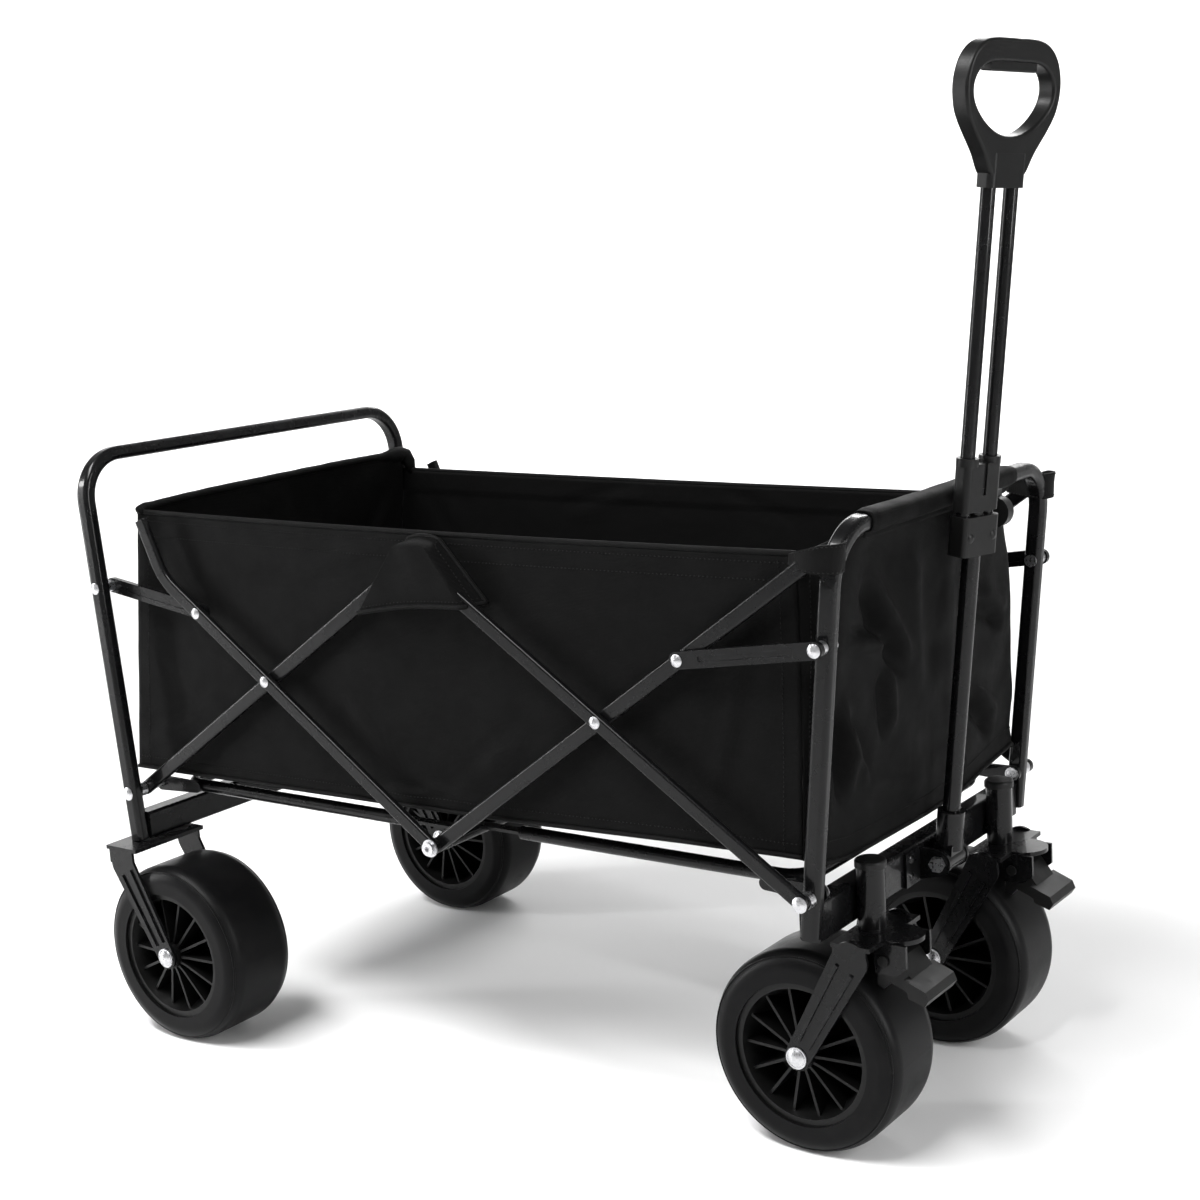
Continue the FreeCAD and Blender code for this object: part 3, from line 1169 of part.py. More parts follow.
INSIDE = TUB_HALF - CLOTH - 0.4
rear_top = val("rear_panel_top")
rear_top_x = REAR_LOW_X + (REAR_HIGH_X - REAR_LOW_X) * (rear_top - TUB_LOW) / (TUB_HIGH - TUB_LOW)
feature("tub_rear_panel", prism([(REAR_LOW_X, TUB_LOW), (REAR_LOW_X + CLOTH, TUB_LOW),
                                 (rear_top_x + CLOTH, rear_top), (rear_top_x, rear_top)], -INSIDE, INSIDE))
panel_top = val("front_rise") - val("tube_width") / 2 - 6
panel_half = LUG_IN - 1.0
front_panel = plate((-CLOTH / 2, CLOTH / 2), (-panel_half, panel_half), (18, panel_top))
top_corners = [edge for edge in front_panel.Edges
               if edge.BoundBox.XLength > 1 and edge.BoundBox.ZMin > panel_top - 1]
front_panel = front_panel.makeFillet(40, top_corners)
feature("tub_front_panel", front_panel, FreeCAD.Placement(FRONT_PIN, front_tilt))
feature("tub_floor_sheet", plate((REAR_LOW_X + CLOTH + 1, FRONT_LOW_X - 1), (-INSIDE, INSIDE),
                                 (TUB_LOW - 3, TUB_LOW)))


# ---------------------------------------------------------------- check and export

doc.recompute()
for item in doc.Objects:
    if "Invalid" in item.State or "Error" in item.State:
        raise RuntimeError(f"{item.Name} failed: {item.State}")
for part in nodes:
    if part.Shape.isNull() or not part.Shape.isValid() or part.Shape.Volume < 1.0:
        raise RuntimeError(f"{part.Label} has no valid shape")

os.makedirs("parts", exist_ok=True)
for part in nodes:
    part.Shape.exportStep(f"parts/{part.Label}.step")
whole = Part.makeCompound([part.Shape for part in nodes]).BoundBox
lengths = [round(length, 1) for length in (whole.XLength, whole.YLength, whole.ZLength)]
print(len(nodes), "sub-parts, size", *lengths)
print("x from", round(whole.XMin, 2), "to", round(whole.XMax, 2), "and z from", round(whole.ZMin, 3))
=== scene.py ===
"""Looks of the folding camp wagon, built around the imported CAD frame."""
import math

import bpy
import numpy as np
from mathutils import Matrix, Vector, noise


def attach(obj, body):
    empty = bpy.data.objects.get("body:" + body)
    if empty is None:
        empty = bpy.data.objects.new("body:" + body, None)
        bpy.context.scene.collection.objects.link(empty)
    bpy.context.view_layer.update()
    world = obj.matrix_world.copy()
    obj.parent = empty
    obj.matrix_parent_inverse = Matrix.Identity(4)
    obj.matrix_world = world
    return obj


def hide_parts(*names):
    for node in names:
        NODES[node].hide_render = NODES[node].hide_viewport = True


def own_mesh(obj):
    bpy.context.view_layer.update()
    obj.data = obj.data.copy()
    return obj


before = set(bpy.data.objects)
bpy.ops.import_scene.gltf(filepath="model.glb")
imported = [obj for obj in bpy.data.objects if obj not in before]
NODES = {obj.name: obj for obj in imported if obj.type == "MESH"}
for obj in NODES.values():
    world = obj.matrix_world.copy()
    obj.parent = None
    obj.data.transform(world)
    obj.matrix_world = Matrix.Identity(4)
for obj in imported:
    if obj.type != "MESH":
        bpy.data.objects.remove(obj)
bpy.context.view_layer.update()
SIDES = (("near", -1), ("far", 1))


def mm(*numbers):
    """Millimetres as a numpy point in metres."""
    return np.array(numbers, float) / 1000


# ---------------------------------------------------------------- camera, floor and light

def make_camera():
    """The photograph's camera: azimuth, elevation, roll, distance and lens."""
    azimuth, elevation, roll = math.radians(34.2), math.radians(11.3), math.radians(-2.9)
    target = Vector((0.0981, 0.0, 0.441))
    back = Vector((math.sin(azimuth) * math.cos(elevation), -math.cos(azimuth) * math.cos(elevation),
                   math.sin(elevation)))
    level = Vector((math.cos(azimuth), math.sin(azimuth), 0))
    rise = back.cross(level)
    right = math.cos(roll) * level + math.sin(roll) * rise
    up = math.cos(roll) * rise - math.sin(roll) * level
    data = bpy.data.cameras.new("camera")
    data.sensor_width = 36
    data.lens = 59.41
    data.shift_x = -0.0663
    data.shift_y = 0.0077
    data.clip_start, data.clip_end = 0.05, 80
    camera = bpy.data.objects.new("camera", data)
    camera.matrix_world = Matrix((right, up, back)).transposed().to_4x4()
    camera.location = target + back * 1.9141
    bpy.context.scene.collection.objects.link(camera)
    bpy.context.scene.camera = camera


def new_mesh(name, verts, faces, smooth=True):
    mesh = bpy.data.meshes.new(name)
    mesh.from_pydata([tuple(v) for v in verts], [], faces)
    mesh.validate()
    mesh.polygons.foreach_set("use_smooth", [smooth] * len(mesh.polygons))
    piece = bpy.data.objects.new(name, mesh)
    bpy.context.scene.collection.objects.link(piece)
    return piece


def area_light(name, place, aim, size, power):
    data = bpy.data.lights.new(name, "AREA")
    data.shape = "RECTANGLE"
    data.size, data.size_y = size
    data.energy = power
    lamp = bpy.data.objects.new(name, data)
    lamp.location = place
    lamp.rotation_euler = (Vector(aim) - Vector(place)).to_track_quat("-Z", "Y").to_euler()
    bpy.context.scene.collection.objects.link(lamp)


def studio():
    """A pale floor that curves up all round into a pale wall, and soft lights."""
    rings = [(3.0, 0.0), (5.5, 0.0), (6.6, 0.18), (7.4, 0.75), (7.8, 1.6), (8.0, 2.8), (8.0, 4.2)]
    around = 64
    verts = [(r * math.cos(2 * math.pi * k / around), r * math.sin(2 * math.pi * k / around), z)
             for r, z in rings for k in range(around)]
    verts.append((0, 0, 0))
    hub = len(verts) - 1
    faces = [(hub, k, (k + 1) % around) for k in range(around)]
    for ring in range(len(rings) - 1):
        a, b = ring * around, (ring + 1) * around
        faces += [(a + k, b + k, b + (k + 1) % around, a + (k + 1) % around) for k in range(around)]
    floor = new_mesh("studio_floor", verts, faces)
    pale = bpy.data.materials.new("studio_pale")
    pale.use_nodes = True
    surface = pale.node_tree.nodes["Principled BSDF"]
    surface.inputs["Base Color"].default_value = (0.92, 0.92, 0.92, 1)
    surface.inputs["Roughness"].default_value = 0.9
    surface.inputs["Specular IOR Level"].default_value = 0.1
    floor.data.materials.append(pale)
    world = bpy.data.worlds.new("studio")
    bpy.context.scene.world = world
    world.use_nodes = True
    world.node_tree.nodes["Background"].inputs["Color"].default_value = (1, 1, 1, 1)
    world.node_tree.nodes["Background"].inputs["Strength"].default_value = 0.24
    area_light("overhead", (-0.5, -1.3, 2.6), (0, 0, 0.3), (2.4, 0.6), 105)
    area_light("left", (-2.6, -1.5, 0.9), (-0.1, 0, 0.3), (0.2, 1.8), 40)
    area_light("front", (2.6, -0.2, 1.2), (0.2, 0, 0.4), (0.2, 1.8), 40)
    area_light("behind", (-0.6, 2.6, 2.2), (0, 0, 0.4), (2.0, 0.5), 45)
    area_light("wall_wash", (-2.2, 3.4, 3.4), (-4.6, 6.9, 0.4), (3.5, 1.0), 330)
    bpy.context.scene.view_settings.view_transform = "Standard"


make_camera()
studio()


# ---------------------------------------------------------------- materials

class Finish:
    """A node material around one Principled shader, with short calls for its parts."""

    def __init__(self, name, **constants):
        self.material = bpy.data.materials.new(name)
        self.material.use_nodes = True
        self.tree = self.material.node_tree
        self.shader = self.tree.nodes["Principled BSDF"]
        for socket, value in constants.items():
            self.shader.inputs[socket.replace("_", " ")].default_value = value
        self.place = self.tree.nodes.new("ShaderNodeTexCoord").outputs["Object"]

    def add(self, kind, inputs=(), **settings):
        made = self.tree.nodes.new("ShaderNode" + kind)
        for key, value in settings.items():
            setattr(made, key, value)
        for key, value in dict(inputs).items():
            if isinstance(value, bpy.types.NodeSocket):
                self.tree.links.new(value, made.inputs[key])
            else:
                made.inputs[key].default_value = value
        return made

    def math(self, operation, first, second=0.0, clamp=False):
        return self.add("Math", {0: first, 1: second}, operation=operation, use_clamp=clamp).outputs[0]

    def noise(self, scale, detail=2.0, rough=0.5, place=None):
        return self.add("TexNoise", {"Vector": place or self.place, "Scale": scale, "Detail": detail,
                                     "Roughness": rough}).outputs["Fac"]

    def scaled(self, factors):
        return self.add("VectorMath", {0: self.place, 1: factors}, operation="MULTIPLY").outputs[0]

    def ranged(self, value, low, high, to_low, to_high):
        return self.add("MapRange", {"Value": value, "From Min": low, "From Max": high,
                                     "To Min": to_low, "To Max": to_high}).outputs[0]

    def colour(self, share, first, second):
        ramp = self.add("ValToRGB", {"Fac": share})
        ramp.color_ramp.elements[0].color = (*first, 1)
        ramp.color_ramp.elements[1].color = (*second, 1)
        return ramp.outputs["Color"]

    def mixed(self, share, first, second):
        made = self.add("Mix", {"Factor": share}, data_type="RGBA")
        self.tree.links.new(first, made.inputs[6])
        if isinstance(second, bpy.types.NodeSocket):
            self.tree.links.new(second, made.inputs[7])
        else:
            made.inputs[7].default_value = (*second, 1)
        return made.outputs[2]

    def edges(self, radius):
        """0 on flat faces, up to 1 on sharp edges, where a finish rubs thin."""
        bevel = self.add("Bevel", {"Radius": radius}, samples=4).outputs[0]
        normal = self.add("NewGeometry").outputs["Normal"]
        dot = self.add("VectorMath", {0: bevel, 1: normal}, operation="DOT_PRODUCT").outputs["Value"]
        return self.ranged(dot, 0.995, 0.9, 0.0, 1.0)

    def drive(self, socket, value):
        self.tree.links.new(value, self.shader.inputs[socket])

    def bump(self, height, strength, depth):
        made = self.add("Bump", {"Strength": strength, "Distance": depth, "Height": height})
        self.drive("Normal", made.outputs[0])
        return self.material


def powder_coat():
    """Satin black powder coat: orange peel and a little rubbed along the edges."""
    f = Finish("powder_coat", Specular_IOR_Level=0.1, Coat_Weight=0.24, Coat_Roughness=0.05)
    patches = f.noise(11, 4, 0.6)
    rubbed = f.math("MULTIPLY", f.edges(0.0012), f.ranged(f.noise(60, 3, 0.7), 0.5, 0.75, 0.0, 0.8))
    base = f.colour(patches, (0.0022, 0.0022, 0.0024), (0.0048, 0.0048, 0.0051))
    f.drive("Base Color", f.mixed(rubbed, base, (0.05, 0.05, 0.052)))
    f.drive("Roughness", f.ranged(f.noise(35, 5, 0.6), 0.3, 0.7, 0.22, 0.33))
    return f.bump(f.noise(1100, 2, 0.5), 0.22, 0.00025)


def zinc():
    """Zinc-plated rivets and bolts with a fine turned grain."""
    f = Finish("zinc", Metallic=1.0)
    tone = f.noise(160, 4, 0.6)
    f.drive("Base Color", f.colour(tone, (0.42, 0.42, 0.44), (0.72, 0.72, 0.73)))
    f.drive("Roughness", f.ranged(f.noise(420, 3, 0.5), 0.3, 0.7, 0.2, 0.42))
    return f.bump(f.noise(1500, 2, 0.5), 0.2, 0.0002)


def plastic(name, dark, light, rough, shine):
    """Moulded black plastic with a fine spark grain and dull patches."""
    f = Finish(name, Specular_IOR_Level=shine)
    scuff = f.math("MULTIPLY", f.edges(0.0015), f.ranged(f.noise(80, 3, 0.7), 0.5, 0.8, 0.0, 0.6))
    f.drive("Base Color", f.mixed(scuff, f.colour(f.noise(14, 4, 0.6), (dark,) * 3, (light,) * 3),
                                  (0.035, 0.035, 0.036)))
    f.drive("Roughness", f.ranged(f.noise(45, 4, 0.6), 0.3, 0.7, rough - 0.07, rough + 0.07))
    return f.bump(f.noise(900, 3, 0.6), 0.3, 0.0003)


def tyre_foam():
    """Moulded tyre: close satin skin, dusty and duller in patches."""
    f = Finish("tyre_skin", Specular_IOR_Level=0.08)
    dust = f.ranged(f.noise(26, 6, 0.65), 0.45, 0.75, 0.0, 1.0)
    dusting = f.math("MULTIPLY", dust, 0.35)
    rubber = f.colour(f.noise(7, 3, 0.6), (0.0028, 0.0028, 0.003), (0.0054, 0.0054, 0.0057))
    f.drive("Base Color", f.mixed(dusting, rubber, (0.012, 0.0117, 0.0114)))
    f.drive("Roughness", f.ranged(dust, 0.0, 1.0, 0.34, 0.48))
    return f.bump(f.noise(620, 4, 0.6), 0.28, 0.0003)


def woven(name, dark, light, thread, rough=0.6, sheen=0.006):
    """Coated woven cloth: crossing threads, slubs, soft shade changes and faint creasing."""
    f = Finish(name, Specular_IOR_Level=0.04, Sheen_Weight=sheen, Sheen_Roughness=0.4)
    turns = 2 * math.pi / thread
    waves = f.add("VectorMath", {0: f.scaled((turns, turns, turns))}, operation="SINE").outputs[0]
    parts = f.add("SeparateXYZ", {0: waves}).outputs
    weave = f.math("ADD", f.math("MULTIPLY", parts[0], parts[2]),
                   f.math("ADD", f.math("MULTIPLY", parts[1], parts[2]),
                          f.math("MULTIPLY", parts[0], parts[1])))
    slubs = f.math("ADD", f.noise(1.0, 3, 0.6, f.scaled((90, 90, 1400))),
                   f.noise(1.0, 3, 0.6, f.scaled((1400, 1400, 90))))
    shade = f.math("ADD", f.math("MULTIPLY", f.noise(8, 5, 0.62), 0.6),
                   f.math("MULTIPLY", slubs, 0.2))
    f.drive("Base Color", f.colour(shade, (dark,) * 3, (light,) * 3))
    f.drive("Roughness", f.ranged(f.noise(30, 4, 0.6), 0.3, 0.7, rough - 0.08, rough + 0.08))
    raised = f.math("MULTIPLY", weave, 0.35)
    uneven = f.math("ADD", f.math("MULTIPLY", slubs, 0.5), f.math("MULTIPLY", f.noise(55, 4, 0.6), 2.2))
    return f.bump(f.math("ADD", raised, uneven), 0.5, 0.0004)


def pressed_board():
    """Stiff pressed sheet with fibres and rubbed edges."""
    f = Finish("pressed_board", Specular_IOR_Level=0.3)
    fibres = f.noise(1.0, 6, 0.7, f.scaled((40, 400, 400)))
    f.drive("Base Color", f.mixed(f.edges(0.002), f.colour(fibres, (0.02, 0.02, 0.02), (0.045, 0.044, 0.042)),
                                  (0.07, 0.068, 0.064)))
    f.drive("Roughness", f.ranged(fibres, 0.3, 0.7, 0.6, 0.8))
    return f.bump(f.noise(700, 3, 0.6), 0.4, 0.0003)


STEEL, ZINC = powder_coat(), zinc()
PLASTIC = plastic("moulded_plastic", 0.0032, 0.0065, 0.38, 0.2)
# The rims are the same moulded plastic, made darker here as painted shade for the wheels' recessed centres.
RIM_PLASTIC_PAINTED_SHADE = plastic("rim_plastic_painted_shade", 0.002, 0.0045, 0.36, 0.2)
TYRE, BOARD = tyre_foam(), pressed_board()
CLOTH = woven("tub_cloth", 0.002, 0.005, 0.0012)
TAPE = woven("binding_tape", 0.0032, 0.0075, 0.0016, 0.5, 0.015)
THREAD = woven("thread", 0.007, 0.015, 0.0004, 0.45, 0.04)
BY_SLOT = {"frame_steel": STEEL, "bare_steel": ZINC, "black_plastic": PLASTIC, "tyre": TYRE, "cloth": CLOTH,
           "board": BOARD}


def dress_cad():
    """Every carried-over CAD node gets the detailed finish of its material slot; the rims get a darker copy
    of the moulded plastic, its extra darkness painted shade.
    """
    for name, piece in NODES.items():
        # Rims take the darker copy of the plastic, whose darkness is painted shade.
        chosen = RIM_PLASTIC_PAINTED_SHADE if name.startswith("rim_") else BY_SLOT[slot_of(name)]
        for material_slot in piece.material_slots:
            material_slot.link = "OBJECT"
            material_slot.material = chosen


def slot_of(name):
    """The record's material slot of a CAD node, from the node's imported material."""
    mesh = NODES[name].data
    found = mesh.materials[0].name if mesh.materials else ""
    for known in BY_SLOT:
        if found.startswith(known):
            return known
    raise RuntimeError(f"{name} has material {found!r}")


dress_cad()


# ---------------------------------------------------------------- cloth helpers

def smoothstep(low, high, value):
    t = np.clip((np.asarray(value, float) - low) / (high - low), 0, 1)
    return t * t * (3 - 2 * t)


def normals_of(grid):
    """Unit normals of a grid of points, columns by rows."""
    across = np.gradient(grid, axis=0)
    along = np.gradient(grid, axis=1)
    found = np.cross(across, along)
    return found / np.maximum(np.linalg.norm(found, axis=2, keepdims=True), 1e-12)


def sheet_piece(name, grid, thickness, finish=None):
    """A closed thin cloth on a grid of points; the cloth's thickness lies behind the grid."""
    columns, rows = grid.shape[:2]
    depth = np.broadcast_to(np.asarray(thickness, float), (columns, rows))[..., None]
    back = grid - normals_of(grid) * depth
    verts = np.concatenate([grid.reshape(-1, 3), back.reshape(-1, 3)])
    total = columns * rows

    def at(i, j, layer=0):
        return layer * total + i * rows + j

    faces = []
    for i in range(columns - 1):
        for j in range(rows - 1):
            faces.append((at(i, j), at(i + 1, j), at(i + 1, j + 1), at(i, j + 1)))
            faces.append((at(i, j, 1), at(i, j + 1, 1), at(i + 1, j + 1, 1), at(i + 1, j, 1)))
    for i in range(columns - 1):
        faces.append((at(i, 0), at(i, 0, 1), at(i + 1, 0, 1), at(i + 1, 0)))
        faces.append((at(i, rows - 1), at(i + 1, rows - 1), at(i + 1, rows - 1, 1), at(i, rows - 1, 1)))
    for j in range(rows - 1):
        faces.append((at(0, j), at(0, j + 1), at(0, j + 1, 1), at(0, j, 1)))
        faces.append((at(columns - 1, j), at(columns - 1, j, 1),
                      at(columns - 1, j + 1, 1), at(columns - 1, j + 1)))
    piece = new_mesh(name, verts, faces)
    piece.data.materials.append(finish or CLOTH)
    return piece


def tube_piece(name, path, radius, sides=10, flat=1.0, finish=None):
    """A closed tube along a path of points, its radius given at each point or once."""
    path = np.asarray(path, float)
    radii = np.broadcast_to(np.asarray(radius, float), (len(path),))
    tangent = np.gradient(path, axis=0)
    tangent /= np.linalg.norm(tangent, axis=1, keepdims=True)
    side = np.cross(tangent[0], (0, 0, 1.0))
    if np.linalg.norm(side) < 0.1:
        side = np.cross(tangent[0], (0, 1.0, 0))
    verts = []
    for point, along, r in zip(path, tangent, radii):
        side = side - along * (side @ along)
        side /= np.linalg.norm(side)
        other = np.cross(along, side)
        for k in range(sides):
            turn = 2 * math.pi * k / sides
            verts.append(point + r * (math.cos(turn) * flat * side + math.sin(turn) * other))
    faces = []
    for ring in range(len(path) - 1):
        for k in range(sides):
            a, b = ring * sides + k, ring * sides + (k + 1) % sides
            faces.append((a, b, b + sides, a + sides))
    faces.append(tuple(range(sides))[::-1])
    faces.append(tuple(range((len(path) - 1) * sides, len(path) * sides)))
    piece = new_mesh(name, verts, faces)
    piece.data.materials.append(finish or TAPE)
    return piece


# One stitch, from end to end: share of its length, share of its radius, and height over the cloth in radii.
STITCH_RINGS = ((0, 0.35, 0.1), (0.2, 1.0, 0.75), (0.8, 1.0, 0.75), (1, 0.35, 0.1))
STITCH_SIDES = 5


def stitch_piece(name, rows, pitch=0.0042, share=0.62, radius=0.00045):
    """Rows of thread stitches; each row is (points, outward directions), and every stitch is a small dash."""
    verts, faces = [], []
    for points, outward in rows:
        points, outward = np.asarray(points, float), np.asarray(outward, float)
        steps = np.linalg.norm(np.diff(points, axis=0), axis=1)
        reach = np.concatenate([[0], np.cumsum(steps)])
        for k in range(int(reach[-1] / pitch)):
            ends = []
            for place in (k * pitch + 0.0004, k * pitch + pitch * share):
                ends.append([np.interp(place, reach, points[:, axis]) for axis in range(3)]
                            + [np.interp(place, reach, outward[:, axis]) for axis in range(3)])
            first, last = np.array(ends[0]), np.array(ends[1])
            out = first[3:] / np.linalg.norm(first[3:])
            along = last[:3] - first[:3]
            length = np.linalg.norm(along)
            along /= length
            across = np.cross(along, out)
            start = len(verts)
            for share_along, width, lift in STITCH_RINGS:
                centre = first[:3] + along * length * share_along + out * radius * lift
                for turn in range(STITCH_SIDES):
                    angle = 2 * math.pi * turn / STITCH_SIDES
                    spoke = math.cos(angle) * across + math.sin(angle) * out * 0.8
                    verts.append(centre + radius * width * spoke)
            last_ring = start + (len(STITCH_RINGS) - 1) * STITCH_SIDES
            for ring in range(start, last_ring, STITCH_SIDES):
                for turn in range(STITCH_SIDES):
                    a, b = ring + turn, ring + (turn + 1) % STITCH_SIDES
                    faces.append((a, b, b + STITCH_SIDES, a + STITCH_SIDES))
            faces.append(tuple(start + turn for turn in range(STITCH_SIDES))[::-1])
            faces.append(tuple(last_ring + turn for turn in range(STITCH_SIDES)))
    piece = new_mesh(name, verts, faces)
    piece.data.materials.append(THREAD)
    return piece


def crease(across, up, start, end, height, width):
    """A soft fold along a line on a panel: a ridge with a hollow beside it, fading to its ends."""
    start, end = np.array(start, float) / 1000, np.array(end, float) / 1000
    along = end - start
    length = np.linalg.norm(along)
    along = along / length
    dx, dz = across - start[0], up - start[1]
    forward = (dx * along[0] + dz * along[1]) / length
    aside = (-dx * along[1] + dz * along[0]) / (width / 1000)
    fade = smoothstep(-0.25, 0.2, forward) * (1 - smoothstep(0.8, 1.25, forward))
    return height / 1000 * fade * (np.exp(-aside ** 2) - 0.6 * np.exp(-(aside - 1.6) ** 2))


def creased(push, across, up, folds):
    """A panel's push out of its plane, with every fold in a list of (start, end, height, width) added."""
    for start, end, height, width in folds:
        push = push + crease(across, up, start, end, height, width)
    return push


def rumple(points, scale, seed):
    """Smooth three-dimensional noise at each point of a grid, about -1 to 1."""
    flat = points.reshape(-1, 3) * scale + seed * 7.31
    values = [noise.noise(Vector(p)) for p in flat]
    return np.array(values).reshape(points.shape[:2])


def row_along(grid, j, depth=0.0):
    """One row of a grid as a stitch row, raised off the cloth by depth."""
    out = normals_of(grid)[:, j]
    return grid[:, j] + out * depth, out


def column_along(grid, i, depth=0.0):
    """One column of a grid as a stitch row, raised off the cloth by depth."""
    out = normals_of(grid)[i]
    return grid[i] + out * depth, out


def riding(body, *pieces):
    """Pieces that move with a body."""
    for piece in pieces:
        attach(piece, body)


def folding(*pieces):
    """Cloth between the two end frames: it rides on the rear frame and gets a mesh of its own."""
    for piece in pieces:
        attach(piece, "rear_frame")
        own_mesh(piece)


CLOTH_THICK, CLOTH_GAP = 0.0011, 0.0012


# ---------------------------------------------------------------- tub sides

TUB_Y = 0.203
TUB_LOW, TUB_HIGH = 0.273, 0.542
REAR_FOOT_X, REAR_LEAN_X = mm(-462.8, 38)
SIDE_COLUMNS, SIDE_ROWS = 190, 70
SIDE_FOLDS = [((-132, 283), (-58, 293), 2.6, 5), ((-100, 292), (-30, 284), 2.0, 4),
              ((-60, 300), (10, 290), 1.6, 5), ((-20, 300), (60, 360), 1.3, 9),
              ((-85, 300), (-150, 380), 1.2, 10), ((300, 515), (215, 430), 1.3, 10),
              ((318, 520), (262, 330), 1.2, 9), ((-400, 520), (-330, 420), 1.1, 12),
              ((-440, 300), (-360, 340), 1.2, 9), ((330, 300), (250, 345), 1.3, 9),
              ((-90, 530), (-190, 500), 0.9, 8), ((20, 528), (110, 497), 0.9, 8)]


def side_edges(up, side):
    """The rear and front ends of a side at a share of its height: the far front end leans in at its top."""
    rear = REAR_FOOT_X + REAR_LEAN_X * up
    ends = [0.3465, 0.350, 0.352, 0.351] if side < 0 else [0.3465, 0.350, 0.346, 0.331]
    return rear, np.interp(up, [0, 0.35, 0.7, 1], ends)


def side_grid(side):
    """A side of the tub, bowed out a little; the far side's top edge lies lower than the near one's."""
    share_x = np.linspace(0, 1, SIDE_COLUMNS)[:, None]
    up = np.linspace(0, 1, SIDE_ROWS)[None, :]
    rear, front = side_edges(up, side)
    x = rear + (front - rear) * share_x
    bottom = np.interp(share_x, [0, 0.3, 0.6, 0.85, 1], [0.2732, 0.2755, 0.2785, 0.2850, 0.2872])
    high, fall, sag = (0.5450, 0.002, 0.003) if side < 0 else (0.5345, 0.004, 0.001)
    top = high - fall * share_x - sag * np.sin(math.pi * share_x)
    z = bottom + (top - bottom) * up
    grid = np.stack([x, np.full_like(x, TUB_Y), z], axis=2)
    slack = np.sin(math.pi * share_x) ** 0.6 * np.sin(math.pi * up) ** 0.7
    broad = 0.0016 * rumple(grid * np.array([1, 1, 0.7]), 6, 2 + side) * slack
    fine = 0.0007 * rumple(grid * np.array([0.8, 1, 1.5]), 22, 5 + side)
    fine = fine * smoothstep(0, 0.15, up) * smoothstep(1, 0.85, up)
    out = creased(0.0030 * slack + broad + fine, grid[..., 0], grid[..., 2], SIDE_FOLDS)
    grid[..., 1] = side * (TUB_Y + np.clip(out, -0.003, 0.0062))
    return grid


def tub_side(name, side):
    """One side of the tub with its turned-over top hem, bottom piping and stitching."""
    grid = side_grid(side)
    facing = grid if side < 0 else grid[::-1]
    under_top = facing[..., 2] - facing[:, -1:, 2]
    layers = CLOTH_THICK * (1 + 1.3 * smoothstep(-0.0240, -0.0225, under_top))
    piece = sheet_piece(f"side_cloth_{name}", facing, layers)
    hem = tube_piece(f"side_hem_{name}", grid[:, -1] + np.array([0, side * -0.0008, 0.0006]), 0.0026, 8, 0.8)
    seam = tube_piece(f"side_piping_{name}", grid[:, 0] + np.array([0, side * 0.0002, 0]), 0.0022, 8)
    rows = [row_along(facing, SIDE_ROWS - 7), row_along(facing, SIDE_ROWS - 3), row_along(facing, 3),
            column_along(facing, 4), column_along(facing, SIDE_COLUMNS - 5)]
    thread = stitch_piece(f"side_stitches_{name}", rows)
    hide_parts(f"tub_side_{name}")
    folding(piece, hem, seam, thread)


def strut_pocket(name, side):
    """The three-cornered pocket sewn on a side, over the top ends of the two middle struts."""
    apex, left, right = (-38, 540 if side < 0 else 530), (-116, 466), (30, 482)
    apex_width = 36
    columns, rows = 90, 44
    across = np.linspace(0, 1, columns)[:, None]
    up = np.linspace(0, 1, rows)[None, :]
    base_x = left[0] + (right[0] - left[0]) * across
    base_z = left[1] + (right[1] - left[1]) * across + 4 * np.sin(math.pi * across)
    top_x = apex[0] + (across - 0.5) * apex_width
    top_z = apex[1] - 3 * (2 * across - 1) ** 2
    x = (base_x + (top_x - base_x) * up ** 0.95) / 1000
    z = (base_z + (top_z - base_z) * up ** 0.95) / 1000
    tent = smoothstep(0, 0.075, across) * smoothstep(1, 0.925, across) * (1 - smoothstep(0.92, 1, up))
    stand = 0.0042 + tent * (0.0232 + 0.0007 * np.sin(9 * across + 4 * up))
    grid = np.stack([x, stand, z], axis=2)
    grid[..., 1] += 0.0006 * rumple(grid, 28, 9 + side)
    grid[..., 1] = side * (TUB_Y + grid[..., 1])
    facing = grid if side < 0 else grid[::-1]
    piece = sheet_piece(f"strut_pocket_{name}", facing, CLOTH_THICK)
    edge = np.concatenate([grid[0], grid[1:-1, -1], grid[-1, ::-1]])
    trim = tube_piece(f"pocket_trim_{name}", edge, 0.0024, 8)
    mouth = tube_piece(f"pocket_mouth_{name}", grid[:, 0], 0.0022, 8)
    rows_sewn = [column_along(facing, 3), column_along(facing, columns - 4), row_along(facing, 3)]
    thread = stitch_piece(f"pocket_stitches_{name}", rows_sewn)
    folding(piece, trim, mouth, thread)


# ---------------------------------------------------------------- tub ends

FRONT_PIN, FRONT_LEAN = mm(356.2, 0, 255), math.radians(5.6)
FRONT_FOLDS = [((-137, 499), (-71, 425), -13.0, 9), ((-156, 462), (-92, 449), 7.5, 7),
               ((-178, 401), (-157, 332), -12.0, 8), ((-166, 388), (-124, 340), 8.0, 7),
               ((82, 447), (131, 424), -10.0, 9), ((84, 354), (131, 318), -10.0, 9),
               ((-100, 420), (-90, 370), -7.0, 8), ((-60, 520), (-30, 400), 3.6, 14),
               ((10, 540), (40, 330), 3.4, 15), ((-120, 330), (-20, 300), 3.4, 11)]
REAR_FOLDS = [((-170, 500), (-90, 400), 2.5, 10), ((165, 505), (95, 380), 2.5, 10),
              ((-20, 530), (10, 380), 2.0, 14), ((-150, 300), (-60, 330), 2.2, 9),
              ((150, 305), (70, 330), 2.2, 9)]


def front_plane_x(z):
    """Where the front frame's middle plane is at a height."""
    return FRONT_PIN[0] + (z - FRONT_PIN[2]) * math.tan(FRONT_LEAN)


